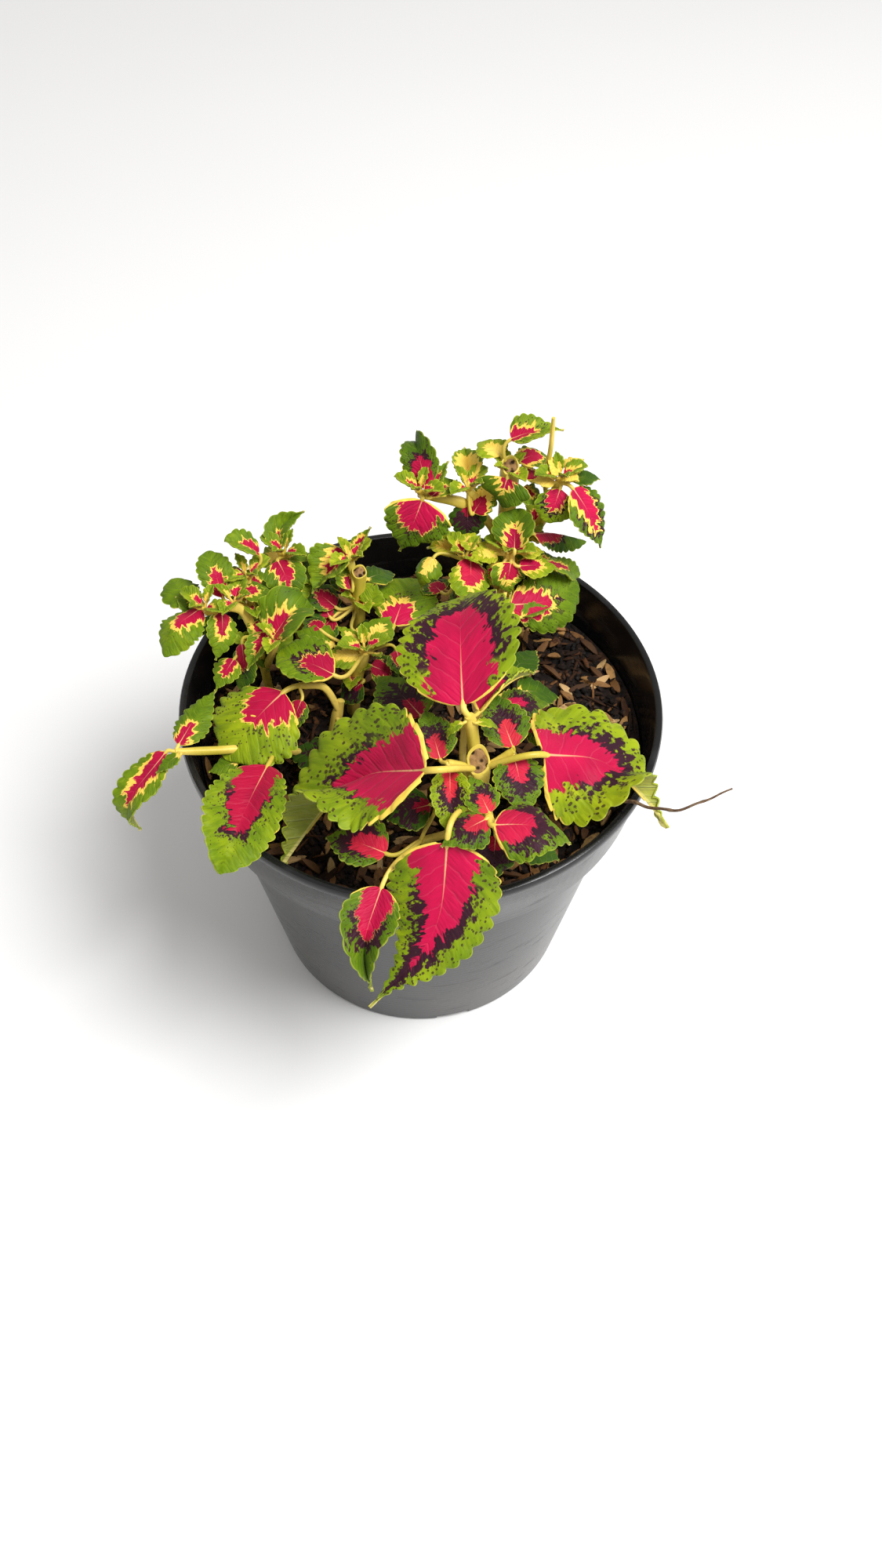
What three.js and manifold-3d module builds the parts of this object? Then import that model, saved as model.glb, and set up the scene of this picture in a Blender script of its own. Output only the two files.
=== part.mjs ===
// Coleus in a round nursery pot.
//
// Eight rooted leafy stems stand in plain holes in the compost of a 17 cm pot. Every blade is a thin arched
// plate with a crenate edge, hung on its petiole, and all that grows from one root is one solid. A dry twig
// leans over the rim. Units are millimetres, +Z is up, -Y is the front, and the origin is the middle of the
// pot's flat underside.
import * as THREE from 'three';
import { mergeVertices } from 'three/addons/utils/BufferGeometryUtils.js';
import Module from 'manifold-3d';

const wasm = await Module();
wasm.setup();

// ---------------------------------------------------------------- driving dimensions
const POT_HEIGHT = 129;
const RIM_RADIUS = 85;
const LIP_DEPTH = 4;
const LIP_WIDTH = 2.8;
const COLLAR_TOP_RADIUS = 84;
const COLLAR_FOOT_RADIUS = 80;
const COLLAR_FOOT_Z = 101;
const BODY_TOP_RADIUS = 75;
const BASE_RADIUS = 59;
const WALL = 1.6;
const FLOOR = 2;
const POT_SIDES = 40;
const NOTCH = { count: 4, first: -77, width: 13, height: 2.5, depth: 9 };
const DRAIN = { count: 6, radius: 4, ring: 36 };

const SOIL_GAP = 0.4;
const SOIL_TOP = 110;
const SOIL_RELIEF = 1.4;
const SOIL_FADE = 15;
const SOIL_RINGS = 6;
const SOIL_SIDES = 30;
const HUSKS = 30;
const HUSK = { length: 9.5, width: 3, depth: 2.4, sunk: 0.7 };

const BLADE_THICKNESS = 0.7;
const TOOTH_DEPTH = 0.13;
const TOOTH_PITCH = 8;
const FEWEST_TEETH = 2;
const EXTRA_TEETH = 0.7;
const RIBBED_WIDTH = 16;
const SHOULDER = 0.7;
const TAPER = 1.3;
const ROUND = 0.7;
const POINTED = 1.8;
const STALK_RADIUS = 0.55;
const STALK_SHARE = 0.02;
const STALK_STEPS = 2;
const STRAIGHT_STALK = 11;
const HOLE_GAP = 0.35;
const STEM_SIDES = 6;
const STEM_STEPS = 3;
const TWIG = {
  radius: 0.8,
  path: [[58, -35, 104], [62, -41, 118], [66, -46, 131], [82, -57, 141], [99, -55, 150]],
};
const TWIG_STEPS = 8;

// the compost's radius at its top, where it meets the collar's sloping wall
const COLLAR_SLOPE = (RIM_RADIUS - LIP_WIDTH - COLLAR_FOOT_RADIUS + WALL)
  / (POT_HEIGHT - LIP_DEPTH - COLLAR_FOOT_Z - WALL);
const SOIL_RADIUS = COLLAR_FOOT_RADIUS - WALL - SOIL_GAP
  + COLLAR_SLOPE * (SOIL_TOP - COLLAR_FOOT_Z - WALL - SOIL_GAP);

// ---------------------------------------------------------------- where everything grows
// A stem is [radius, path]. Its path starts in the compost, and its first stem stands in a hole.
// A tuft is a place on a stem and the leaves that grow there. A leaf is [base, tip, width, bends]:
//   droop     degrees that the blade arches from base to tip, tip down
//   hook      more droop, all in the outer half
//   bend      degrees that it turns to the left on its way out
//   fold      degrees that each half is raised beside the midrib, tipFold the same at the tip
//   curl      degrees that each half rolls down towards its edge
//   roll      degrees that the whole blade is turned about its length, twist the same at the tip
//   taper     how fast it narrows towards the tip, TAPER where none is given
const plants = {
  plant_front: {
    stems: [
      [3.4, [[19, -53, 96], [18.5, -51, 130], [18, -49.5, 161]]],
      [2, [[17.5, -45, 148], [16.3, -44.5, 162], [15, -43, 171]]],
      [1.3, [[18, -50, 152], [13, -51, 156], [8, -53, 160]]],
      [1.3, [[18, -50, 152], [24, -49, 156], [29, -48, 160]]],
      [1.6, [[19, -51, 138], [20, -62, 150], [21, -72, 157]]],
      [1.3, [[19, -52, 126], [8, -60, 131], [0, -66, 136]]],
      [1.3, [[19, -52, 128], [14, -38, 140], [14, -28, 146]]],
    ],
    tufts: [
      { at: [15, -43, 170], leaves: [
        [[13, -41, 173], [15, 12, 168], 42, { droop: 50, hook: 20, bend: 10, fold: 10, roll: -20 }],
        [[18, -39, 168], [37, -17, 162], 16, { droop: 50, fold: 45, roll: -20 }],
        [[13, -45, 170], [8, -47, 165], 4, { droop: 90 }],
        [[17, -45, 170], [24, -44, 165], 4, { droop: 90 }],
      ] },
      { at: [18, -50, 153], leaves: [
        [[2, -62, 168], [-47, -66, 118], 46, { bend: 60, fold: 20, tipFold: 50, curl: 20, twist: 60 }],
        [[38, -51, 162], [82, -54, 127], 46,
          { bend: -50, fold: -20, tipFold: 90, curl: 20, roll: 10, twist: -80, taper: POINTED }],
      ] },
      { at: [19, -52, 140], leaves: [
        [[8, -80, 156], [-16, -114, 114], 37,
          { droop: -20, bend: -40, curl: 20, roll: -20, twist: 20, taper: POINTED }],
      ] },
      { at: [8, -53, 160], leaves: [
        [[6, -51, 159], [1, -32, 161], 15, { droop: 20, fold: 20 }],
        [[9, -55, 159], [9, -75, 149], 14, { droop: 40, fold: 25 }],
      ] },
      { at: [29, -48, 160], leaves: [
        [[29, -46, 159], [22, -26, 163], 17, { droop: 20, fold: 15 }],
        [[29, -49, 159], [33, -68, 151], 17, { droop: 40 }],
      ] },
      { at: [21, -72, 157], leaves: [
        [[22, -76, 159], [46, -79, 154], 25, { droop: 50, hook: 20, curl: 40, twist: -20 }],
        [[20, -73, 158], [6, -82, 156], 16, { droop: 30, curl: 30 }],
        [[21, -70, 157], [15, -57, 159], 12, { droop: 20 }],
        [[23, -75, 152], [22, -86, 143], 16, { droop: 40 }],
        [[31, -69, 142], [44, -74, 137], 15, { droop: 30 }],
      ] },
      { at: [0, -66, 136], leaves: [
        [[-11, -71, 136], [-31, -62, 132], 20, { droop: 40, fold: 10 }],
        [[-12, -86, 140], [-15, -108, 113], 20,
          { hook: 60, bend: 30, fold: 20, tipFold: 60, taper: POINTED }],
        [[3, -59, 146], [-11, -61, 140], 17, { droop: 30 }],
      ] },
      { at: [14, -28, 146], leaves: [
        [[0, -26, 150], [-15, -4, 145], 22, { droop: 30 }],
        [[26, -23, 152], [43, -17, 146], 14, { droop: 30 }],
        [[34, -25, 147], [47, -31, 141], 14, { droop: 30 }],
        [[33, -8, 142], [48, -3, 133], 15, { droop: 30 }],
        [[30, -2, 143], [41, 17, 135], 13, { droop: 30 }],
      ] },
    ],
  },
  plant_left_low: {
    stems: [
      [1.7, [[-35, -12, 96], [-31, -7, 120], [-28, -4, 132]]],
      [1.3, [[-29, -5, 129], [-34, -3, 138], [-42, -5, 141]]],
      [1.4, [[-34, -11, 108], [-52, -22, 128], [-69, -28, 134], [-82, -31, 137]]],
    ],
    tufts: [
      { at: [-42, -5, 141], leaves: [
        [[-47, -8, 141], [-66, -29, 130], 37, { droop: 40, curl: 20, taper: ROUND }],
        [[-41, -9, 138], [-45, -18, 130], 9, { droop: 40 }],
      ] },
      { at: [-30, -6, 126], leaves: [
        [[-24, -23, 122], [-48, -16, 118], 21, { droop: 20 }],
      ] },
      { at: [-50, -21, 126], leaves: [
        [[-51, -36, 136], [-63, -79, 136], 28, { droop: 30, fold: 20, twist: -30, taper: ROUND }],
        [[-62, -30, 130], [-72, -32, 127], 9, { droop: 20 }],
      ] },
      { at: [-82, -31, 137], leaves: [
        [[-81, -29, 138], [-70, -8, 142], 13, { droop: 20, curl: 30 }],
        [[-85, -31, 137], [-97, -42, 107], 15, { hook: 70, tipFold: 40 }],
        [[-80, -33, 138], [-88, -38, 134], 6, { droop: 30 }],
      ] },
    ],
  },
  plant_left_rear: {
    stems: [
      [1.6, [[-54, 11, 96], [-57, 14, 135], [-63, 17, 156], [-74, 13, 158]]],
      [1.2, [[-57, 14, 132], [-60, 22, 150], [-60, 27, 160]]],
      [1.2, [[-56, 13, 128], [-52, 9, 142], [-50, 8, 148]]],
    ],
    tufts: [
      { at: [-64, 16, 158], leaves: [
        [[-68, 18, 160], [-74, 32, 168], 13, { hook: 40, fold: 20, curl: 20, taper: ROUND }],
        [[-68, 12, 159], [-70, -1, 149], 12, { droop: 60, roll: -40, twist: 20 }],
        [[-62, 21, 159], [-52, 25, 156], 12, { droop: 40 }],
      ] },
      { at: [-74, 13, 158], leaves: [
        [[-75, 13, 160], [-86, -5, 155], 17, { hook: 60, fold: -20, taper: ROUND }],
        [[-76, 17, 160], [-86, 28, 159], 15, { droop: 20, bend: -40, curl: 30, taper: ROUND }],
        [[-77, 12, 157], [-84, 18, 160], 8, { droop: 20, fold: 30 }],
      ] },
      { at: [-60, 27, 159], leaves: [
        [[-56, 31, 168], [-67, 30, 175], 12, { droop: 50, fold: 30, curl: 20, taper: ROUND }],
        [[-62, 30, 160], [-72, 26, 162], 8, { droop: 30 }],
        [[-57, 28, 155], [-65, 33, 157], 13, { droop: 30 }],
        [[-64, 26, 158], [-71, 32, 162], 10, { droop: 20 }],
      ] },
      { at: [-60, 22, 150], leaves: [
        [[-56, 30, 152], [-65, 28, 149], 11, { droop: 20, fold: 20 }],
        [[-57, 27, 147], [-65, 24, 143], 11, { droop: 30 }],
      ] },
      { at: [-57, 14, 138], leaves: [
        [[-53, 18, 142], [-45, 13, 137], 12, { droop: 30 }],
        [[-55, 21, 137], [-46, 19, 130], 12, { droop: 30 }],
        [[-61, 21, 140], [-54, 10, 131], 13, { droop: 30 }],
        [[-72, 17, 146], [-81, 20, 146], 10, { droop: 20 }],
      ] },
      { at: [-50, 8, 148], leaves: [
        [[-51, 9, 150], [-37, 20, 153], 23, { hook: 80, fold: 30, twist: 20 }],
        [[-53, 10, 151], [-60, 0, 143], 11, { fold: 40 }],
        [[-62, 9, 147], [-63, -1, 134], 12, { bend: -20, roll: 30, taper: ROUND }],
        [[-52, 11, 147], [-61, 18, 150], 12, { droop: 30, twist: 30 }],
        [[-65, 6, 142], [-71, -4, 137], 11, { droop: 20 }],
      ] },
    ],
  },
  plant_back_left: {
    stems: [
      [1.8, [[-46, 45, 96], [-47, 45, 135], [-49, 43, 156]]],
    ],
    tufts: [
      { at: [-49, 43, 155], leaves: [
        [[-51, 43, 157], [-42, 58, 163], 12, { droop: 20, bend: -60, fold: 40, twist: 40 }],
        [[-48, 43, 155], [-38, 45, 152], 7, { droop: 50 }],
        [[-46, 40, 153], [-35, 39, 146], 12, { droop: 40 }],
        [[-51, 40, 156], [-46, 29, 146], 16, { droop: 60, hook: 40, twist: 30 }],
        [[-48, 39, 150], [-42, 28, 143], 13, { droop: 40 }],
        [[-52, 40, 150], [-57, 33, 143], 8, { droop: 40 }],
        [[-51, 47, 153], [-59, 44, 149], 12, { droop: 30 }],
      ] },
    ],
  },
  plant_middle: {
    stems: [
      [2.3, [[-23, 34, 96], [-23, 34, 130], [-22, 35, 157]]],
      [1.4, [[-23, 34, 152], [-25, 38, 156], [-26, 41, 160]]],
    ],
    tufts: [
      { at: [-25, 39, 156], leaves: [
        [[-27, 43, 158], [-39, 30, 150], 21, { fold: 40, twist: 20 }],
        [[-24, 41, 158], [-18, 47, 166], 8, { fold: 50 }],
        [[-25, 32, 150], [-29, 41, 153], 10, { fold: 20 }],
      ] },
      { at: [-23, 34, 140], leaves: [
        [[-20, 39, 148], [-10, 48, 142], 12, { droop: 40 }],
        [[-26, 34, 146], [-29, 46, 147], 13, { fold: 20 }],
        [[-33, 30, 138], [-40, 43, 140], 14, { droop: 20 }],
        [[-31, 33, 140], [-44, 41, 144], 13, { droop: 30 }],
        [[-32, 31, 137], [-40, 24, 129], 14, { droop: 30 }],
        [[-19, 29, 145], [-16, 35, 150], 11, { droop: 20 }],
        [[-24, 27, 134], [-14, 26, 129], 14, { droop: 30 }],
      ] },
    ],
  },
  plant_yellow: {
    stems: [
      [2.4, [[-25, 9, 96], [-24, 10, 125], [-20, 11, 141]]],
    ],
    tufts: [
      { at: [-20, 11, 140], leaves: [
        [[-22, 13, 142], [-30, 20, 144], 6, { droop: 40 }],
        [[-22, 9, 141], [-35, 8, 139], 13, { droop: 40 }],
        [[-18, 14, 142], [-11, 25, 144], 13, { droop: 30 }],
        [[-16, 8, 143], [-14, 3, 147], 4, { droop: 20 }],
        [[-10, 23, 141], [-3, 48, 140], 25, { droop: 30, taper: ROUND }],
        [[-9, 16, 136], [-6, 8, 130], 10, { droop: 20 }],
        [[-30, -2, 143], [-50, 4, 146], 25, { droop: 40, fold: 10, roll: 10, taper: ROUND }],
        [[-31, 16, 138], [-45, 21, 140], 15, { droop: 30 }],
        [[-36, 22, 140], [-42, 28, 139], 10, { droop: 30 }],
      ] },
      { at: [-24, 10, 127], leaves: [
        [[-21, 5, 131], [-29, 1, 124], 13, { droop: 30 }],
        [[-18, 13, 131], [-7, 11, 125], 15, { droop: 30 }],
      ] },
    ],
  },
  plant_rear_right: {
    stems: [
      [3, [[31, 58, 96], [30, 57, 140], [30, 55, 168], [30, 54, 190]]],
      [1.8, [[30, 57, 145], [24, 56, 160], [16, 54, 170], [-1, 51, 178]]],
      [1.5, [[22, 55, 164], [19, 55, 172], [16, 54, 177]]],
      [1.8, [[30, 57, 142], [42, 54, 162], [47, 49, 186]]],
      [0.8, [[44, 52, 172], [42, 53, 184], [43, 52, 196], [43, 52, 210]]],
    ],
    tufts: [
      { at: [-1, 51, 177], leaves: [
        [[1, 51, 180], [-1, 75, 181], 14, { hook: 70, bend: 30, tipFold: 50, roll: -30 }],
        [[3, 52, 179], [9, 62, 183], 8, { fold: 40 }],
        [[0, 48, 178], [-8, 43, 158], 26, { droop: 40, fold: 20, roll: -60, taper: POINTED }],
        [[3, 49, 178], [12, 60, 176], 12, { droop: 30, fold: 20 }],
      ] },
      { at: [16, 54, 176], leaves: [
        [[16, 56, 179], [15, 74, 179], 14, { droop: 20, fold: 40 }],
        [[16, 53, 172], [16, 47, 158], 14, { droop: 30 }],
        [[19, 53, 170], [26, 62, 173], 12, { droop: 30 }],
        [[18, 50, 170], [25, 56, 177], 12, { droop: 30 }],
      ] },
      { at: [30, 55, 182], leaves: [
        [[30, 58, 196], [48, 62, 197], 14, { droop: 50, fold: 30, roll: 10, taper: POINTED }],
        [[27, 58, 189], [19, 67, 187], 13, { droop: 50 }],
        [[33, 57, 187], [44, 63, 184], 12, { droop: 70 }],
        [[34, 54, 184], [43, 58, 180], 11, { droop: 30 }],
        [[34, 51, 180], [42, 48, 176], 11, { droop: 30 }],
        [[29, 50, 186], [28, 48, 174], 20, { droop: 80, twist: 30, taper: POINTED }],
      ] },
      { at: [47, 49, 185], leaves: [
        [[49, 51, 188], [55, 54, 191], 9, { droop: 50 }],
        [[47, 50, 188], [42, 53, 193], 8, { droop: 40 }],
        [[51, 49, 186], [61, 52, 184], 9, { droop: 60 }],
        [[47, 47, 184], [43, 41, 174], 14, { droop: 50, roll: -30, taper: ROUND }],
        [[51, 45, 186], [62, 36, 167], 17, { droop: 40, fold: 10, curl: 20 }],
        [[45, 48, 186], [37, 48, 186], 8, { droop: 60 }],
        [[48, 49, 188], [53, 45, 189], 7, { droop: 60 }],
      ] },
      { at: [40, 55, 158], leaves: [
        [[39, 43, 167], [59, 51, 156], 13, { bend: -20, fold: -30, curl: 30, taper: ROUND }],
        [[40, 45, 162], [34, 55, 160], 12, { droop: 30 }],
      ] },
    ],
  },
  plant_rear_centre: {
    stems: [
      [2.2, [[31, 38, 96], [31, 38, 135], [30.5, 38, 163]]],
      [1.3, [[31, 38, 140], [22, 39, 152], [15, 39, 158]]],
    ],
    tufts: [
      { at: [30.5, 38, 161], leaves: [
        [[28, 38, 163], [19, 42, 163], 8, { droop: 40 }],
        [[34, 38, 163], [43, 40, 161], 9, { droop: 40 }],
        [[34, 34, 160], [48, 35, 158], 13, { droop: 30 }],
        [[26, 37, 163], [16, 33, 164], 10, { droop: 40 }],
        [[31, 35, 161], [31, 30, 150], 16, { droop: 40, bend: 40, roll: -30, twist: 40, taper: POINTED }],
        [[28, 35, 160], [23, 31, 153], 9, { droop: 30 }],
        [[32, 35, 167], [33, 47, 175], 17, { droop: 30, fold: 20, roll: -20, taper: ROUND }],
      ] },
      { at: [31, 38, 150], leaves: [
        [[31, 25, 150], [56, 41, 146], 24, { droop: 30, bend: 30, curl: 30, roll: 40, taper: ROUND }],
        [[43, 36, 159], [57, 43, 147], 10, { droop: 30, twist: 50, taper: ROUND }],
        [[38, 41, 156], [50, 45, 152], 10, { droop: 30 }],
        [[35, 22, 147], [46, 28, 146], 9, { fold: 40 }],
        [[28, 27, 145], [34, 22, 139], 7, { droop: 30 }],
        [[27, 32, 148], [23, 27, 139], 12, { droop: 30 }],
      ] },
      { at: [15, 39, 158], leaves: [
        [[13, 45, 158], [2, 48, 155], 12, { droop: 80, fold: 40, roll: -30, taper: POINTED }],
        [[4, 38, 160], [0, 32, 150], 12, { hook: 70, curl: 60, taper: POINTED }],
        [[20, 41, 162], [12, 46, 163], 9, { droop: 50 }],
        [[18, 31, 152], [9, 28, 146], 12, { droop: 30 }],
        [[17, 37, 161], [17, 18, 158], 16, { curl: 30, roll: -20, taper: ROUND }],
        [[7, 38, 143], [1, 46, 141], 12, { droop: 30 }],
      ] },
    ],
  },
};

// ---------------------------------------------------------------- helpers
const rad = THREE.MathUtils.degToRad;
const vec = (p) => new THREE.Vector3(...p);
const smooth = (t) => THREE.MathUtils.smoothstep(t, 0, 1);

/** A closed geometry as a manifold-3d solid. */
function solid(geometry) {
  const plain = new THREE.BufferGeometry();
  plain.setAttribute('position', geometry.getAttribute('position').clone());
  if (geometry.index) plain.setIndex(geometry.index.clone());
  const merged = mergeVertices(plain, 1e-4);
  const vertProperties = new Float32Array(merged.getAttribute('position').array);
  const corners = [];
  for (let i = 0; i < merged.index.count; i += 3) {
    const triangle = Array.from(merged.index.array.slice(i, i + 3));
    if (new Set(triangle).size === 3) corners.push(...triangle);
  }
  const triVerts = new Uint32Array(corners);
  return new wasm.Manifold(new wasm.Mesh({ numProp: 3, vertProperties, triVerts }));
}

/** A manifold-3d solid as a three.js geometry. */
function geometryOf(body) {
  const mesh = body.getMesh();
  const geometry = new THREE.BufferGeometry();
  geometry.setAttribute('position', new THREE.BufferAttribute(new Float32Array(mesh.vertProperties), 3));
  geometry.setIndex(new THREE.BufferAttribute(new Uint32Array(mesh.triVerts), 1));
  return geometry;
}

/** A round bar along a smooth line through the points. */
function bar(points, radius, sides, steps) {
  const section = new THREE.Shape();
  for (let i = 0; i < sides; i += 1) {
    const a = (2 * Math.PI * i) / sides;
    const corner = [radius * Math.cos(a), radius * Math.sin(a)];
    if (i === 0) section.moveTo(...corner);
    else section.lineTo(...corner);
  }
  const extrudePath = new THREE.CatmullRomCurve3(points);
  return solid(new THREE.ExtrudeGeometry(section, { steps, extrudePath, bevelEnabled: false }));
}

/** Repeatable numbers from 0 to 1. */
function seeded(seed) {
  let state = seed;
  return () => {
    state = (Math.imul(state, 1664525) + 1013904223) >>> 0;
    return state / 2 ** 32;
  };
}

// ---------------------------------------------------------------- leaves
const SPINE_STEPS = 24;

/** The midrib as points with their directions, bent as the row says and stretched from base to tip. */
function spineOf([base, tip, , bends]) {
  const { droop = 0, hook = 0, bend = 0, roll = 0, twist = 0 } = bends;
  const points = [new THREE.Vector3()];
  const turns = [];
  for (let i = 0; i <= SPINE_STEPS; i += 1) {
    const t = i / SPINE_STEPS;
    const pitch = rad(droop * (0.5 - t) - hook * smooth((t - 0.35) / 0.4));
    const yaw = rad(bend * smooth((t - 0.2) / 0.6));
    const along = vec([Math.cos(pitch) * Math.cos(yaw), Math.cos(pitch) * Math.sin(yaw), Math.sin(pitch)]);
    turns.push({ along, left: vec([-Math.sin(yaw), Math.cos(yaw), 0]) });
    if (i < SPINE_STEPS) points.push(points[i].clone().addScaledVector(along, 1 / SPINE_STEPS));
  }
  const chord = points[SPINE_STEPS];
  const far = chord.clone().normalize();
  const across = vec([0, 0, 1]).cross(far).normalize();
  const flat = new THREE.Matrix4().makeBasis(far, across, far.clone().cross(across)).transpose();

  const out = vec(tip).sub(vec(base));
  const ahead = out.clone().normalize();
  const beside = vec([0, 0, 1]).cross(ahead).normalize();
  const place = new THREE.Matrix4().makeBasis(ahead, beside, ahead.clone().cross(beside));
  const turned = place.multiply(new THREE.Matrix4().makeRotationX(rad(roll))).multiply(flat);
  const scale = out.length() / chord.length();
  return turns.map(({ along, left }, i) => {
    const t = i / SPINE_STEPS;
    const tangent = along.applyMatrix4(turned);
    const side = left.applyMatrix4(turned).applyAxisAngle(tangent, rad(twist * smooth((t - 0.3) / 0.7)));
    return {
      at: points[i].applyMatrix4(turned).multiplyScalar(scale).add(vec(base)),
      tangent,
      side,
      up: tangent.clone().cross(side),
    };
  });
}

/** Half the blade's width, as a share of its widest, at a share t of its length. */
function outlineAt(t, taper = TAPER) {
  const widest = SHOULDER / (SHOULDER + taper);
  return (t ** SHOULDER * (1 - t) ** taper) / (widest ** SHOULDER * (1 - widest) ** taper);
}

/** A point of the blade's middle surface and the surface's upward direction there. */
function bladePoint(spine, [, , width, bends], t, side, share) {
  const { fold = 0, tipFold = 0, curl = 0 } = bends;
  const i = Math.min(SPINE_STEPS - 1, Math.floor(t * SPINE_STEPS));
  const f = t * SPINE_STEPS - i;
  const [a, b] = [spine[i], spine[i + 1]];
  const mix = (key) => a[key].clone().lerp(b[key], f);
  const raised = fold + tipFold * smooth((t - 0.2) / 0.6);
  const middle = rad(raised - (curl * share) / 2);
  const slope = rad(raised - curl * share);
  const reach = (width / 2) * share;
  const at = mix('at')
    .addScaledVector(mix('side'), side * reach * Math.cos(middle))
    .addScaledVector(mix('up'), reach * Math.sin(middle));
  const normal = mix('up').multiplyScalar(Math.cos(slope))
    .addScaledVector(mix('side'), -side * Math.sin(slope)).normalize();
  return { at, normal };
}

/** Triangles between two rows of points that run the same way, each row listed from base to tip. */
function weave(points, near, far, side) {
  const triangles = [];
  let i = 0;
  let j = 0;
  while (i < near.length - 1 || j < far.length - 1) {
    const nearNext = i < near.length - 1 ? points[near[i + 1]].t : 2;
    const farNext = j < far.length - 1 ? points[far[j + 1]].t : 2;
    const third = nearNext <= farNext ? near[i + 1] : far[j + 1];
    triangles.push(side > 0 ? [near[i], third, far[j]] : [near[i], far[j], third]);
    if (nearNext <= farNext) i += 1;
    else j += 1;
  }
  return triangles;
}

/** The stalk's rings of four corners, from its place on the stem to the blade's base. */
function stalkRings(from, leaf, spine, radius) {
  const start = vec(from);
  const end = vec(leaf[0]);
  const reach = start.distanceTo(end) * 0.4;
  const curve = new THREE.CubicBezierCurve3(
    start,
    start.clone().lerp(end, 0.3).addScaledVector(spine[0].up, reach * 0.2),
    end.clone().addScaledVector(spine[0].tangent, -reach),
    end,
  );
  const steps = start.distanceTo(end) < STRAIGHT_STALK ? 1 : STALK_STEPS;
  const rings = [];
  for (let i = 0; i <= steps; i += 1) {
    const share = i / steps;
    const tangent = curve.getTangent(share);
    const side = spine[0].side.clone().addScaledVector(tangent, -tangent.dot(spine[0].side)).normalize();
    const up = tangent.clone().cross(side);
    const at = curve.getPoint(share);
    rings.push([up, side, up.clone().negate(), side.clone().negate()].map((way) => (
      at.clone().addScaledVector(way, radius))));
  }
  return rings;
}

/** A leaf as one closed mesh: a thin plate, alike on both faces, that narrows into its stalk. */
function leafSolid(from, leaf) {
  const spine = spineOf(leaf);
  const radius = STALK_RADIUS + leaf[2] * STALK_SHARE;
  const length = vec(leaf[0]).distanceTo(vec(leaf[1]));
  const teeth = Math.max(FEWEST_TEETH, Math.round(EXTRA_TEETH + length / TOOTH_PITCH));
  const ribs = Math.max(2, Math.round(teeth / 2));
  const { taper } = leaf[3];
  const rings = stalkRings(from, leaf, spine, radius);
  const [top, left, bottom, right] = rings.at(-1);
  const points = [];
  const add = (t, faces) => points.push({ t, faces }) - 1;
  const put = (t, side, share) => {
    const { at, normal } = bladePoint(spine, leaf, t, side, share);
    const lift = normal.multiplyScalar(BLADE_THICKNESS / 2);
    return add(t, [at.clone().add(lift), at.clone().sub(lift)]);
  };

  const base = add(0, [top, bottom]);
  const tip = put(1, 1, 0);
  const midrib = [base];
  for (let i = 1; i < ribs; i += 1) midrib.push(put(i / ribs, 1, 0));
  midrib.push(tip);
  const triangles = [];
  const edges = {};
  for (const side of [1, -1]) {
    const inner = [base];
    for (let i = 0; i < ribs && leaf[2] > RIBBED_WIDTH; i += 1) {
      const t = (i + 0.5) / ribs;
      inner.push(put(t, side, 0.55 * outlineAt(t, taper)));
    }
    inner.push(tip);
    const edge = [add(0, side > 0 ? [left, left] : [right, right])];
    for (let i = 0; i < teeth; i += 1) {
      const crest = (i + 0.55) / teeth;
      const notch = (i + 1) / teeth;
      edge.push(put(crest, side, outlineAt(crest, taper)));
      if (notch < 1) edge.push(put(notch, side, outlineAt(notch, taper) * (1 - TOOTH_DEPTH)));
    }
    edges[side] = [...edge, tip];
    if (inner.length > 2) {
      triangles.push(...weave(points, midrib, inner, side), ...weave(points, inner, edges[side], side));
    } else {
      triangles.push(...weave(points, midrib, edges[side], side));
    }
  }
  const corners = [];
  for (const [a, b, c] of triangles) {
    const [p, q, r] = [points[a].faces, points[b].faces, points[c].faces];
    corners.push(p[0], q[0], r[0], p[1], r[1], q[1]);
  }
  for (const side of [1, -1]) {
    for (let i = 1; i < edges[side].length; i += 1) {
      const [p, q] = [points[edges[side][i - 1]].faces, points[edges[side][i]].faces];
      const quad = [p[0], q[0], q[1], p[0], q[1], p[1]];
      corners.push(...(side > 0 ? quad : quad.reverse()));
    }
  }
  for (let i = 1; i < rings.length; i += 1) {
    for (let k = 0; k < 4; k += 1) {
      const [a, b] = [rings[i - 1][k], rings[i - 1][(k + 1) % 4]];
      const [c, d] = [rings[i][k], rings[i][(k + 1) % 4]];
      corners.push(a, d, b, a, c, d);
    }
  }
  const [a, b, c, d] = rings[0];
  corners.push(a, b, c, a, c, d);
  const geometry = new THREE.BufferGeometry();
  geometry.setAttribute('position', new THREE.Float32BufferAttribute(corners.flatMap((p) => p.toArray()), 3));
  return solid(geometry);
}

/** Everything that grows from one root, as one solid. */
function leafyStem({ stems, tufts }) {
  const pieces = stems.map(([radius, path]) => bar(path.map(vec), radius, STEM_SIDES, STEM_STEPS));
  for (const { at, leaves } of tufts) {
    for (const leaf of leaves) {
      pieces.push(leafSolid(at, leaf));
    }
  }
  return pieces.reduce((whole, piece) => whole.add(piece));
}

// ---------------------------------------------------------------- pot and compost
/** A closed profile of [radius, height] points turned about the upright axis. */
function turned(profile, sides) {
  const points = profile.map(([r, z]) => new THREE.Vector2(r, z));
  return new THREE.LatheGeometry(points, sides).rotateX(Math.PI / 2);
}

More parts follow.
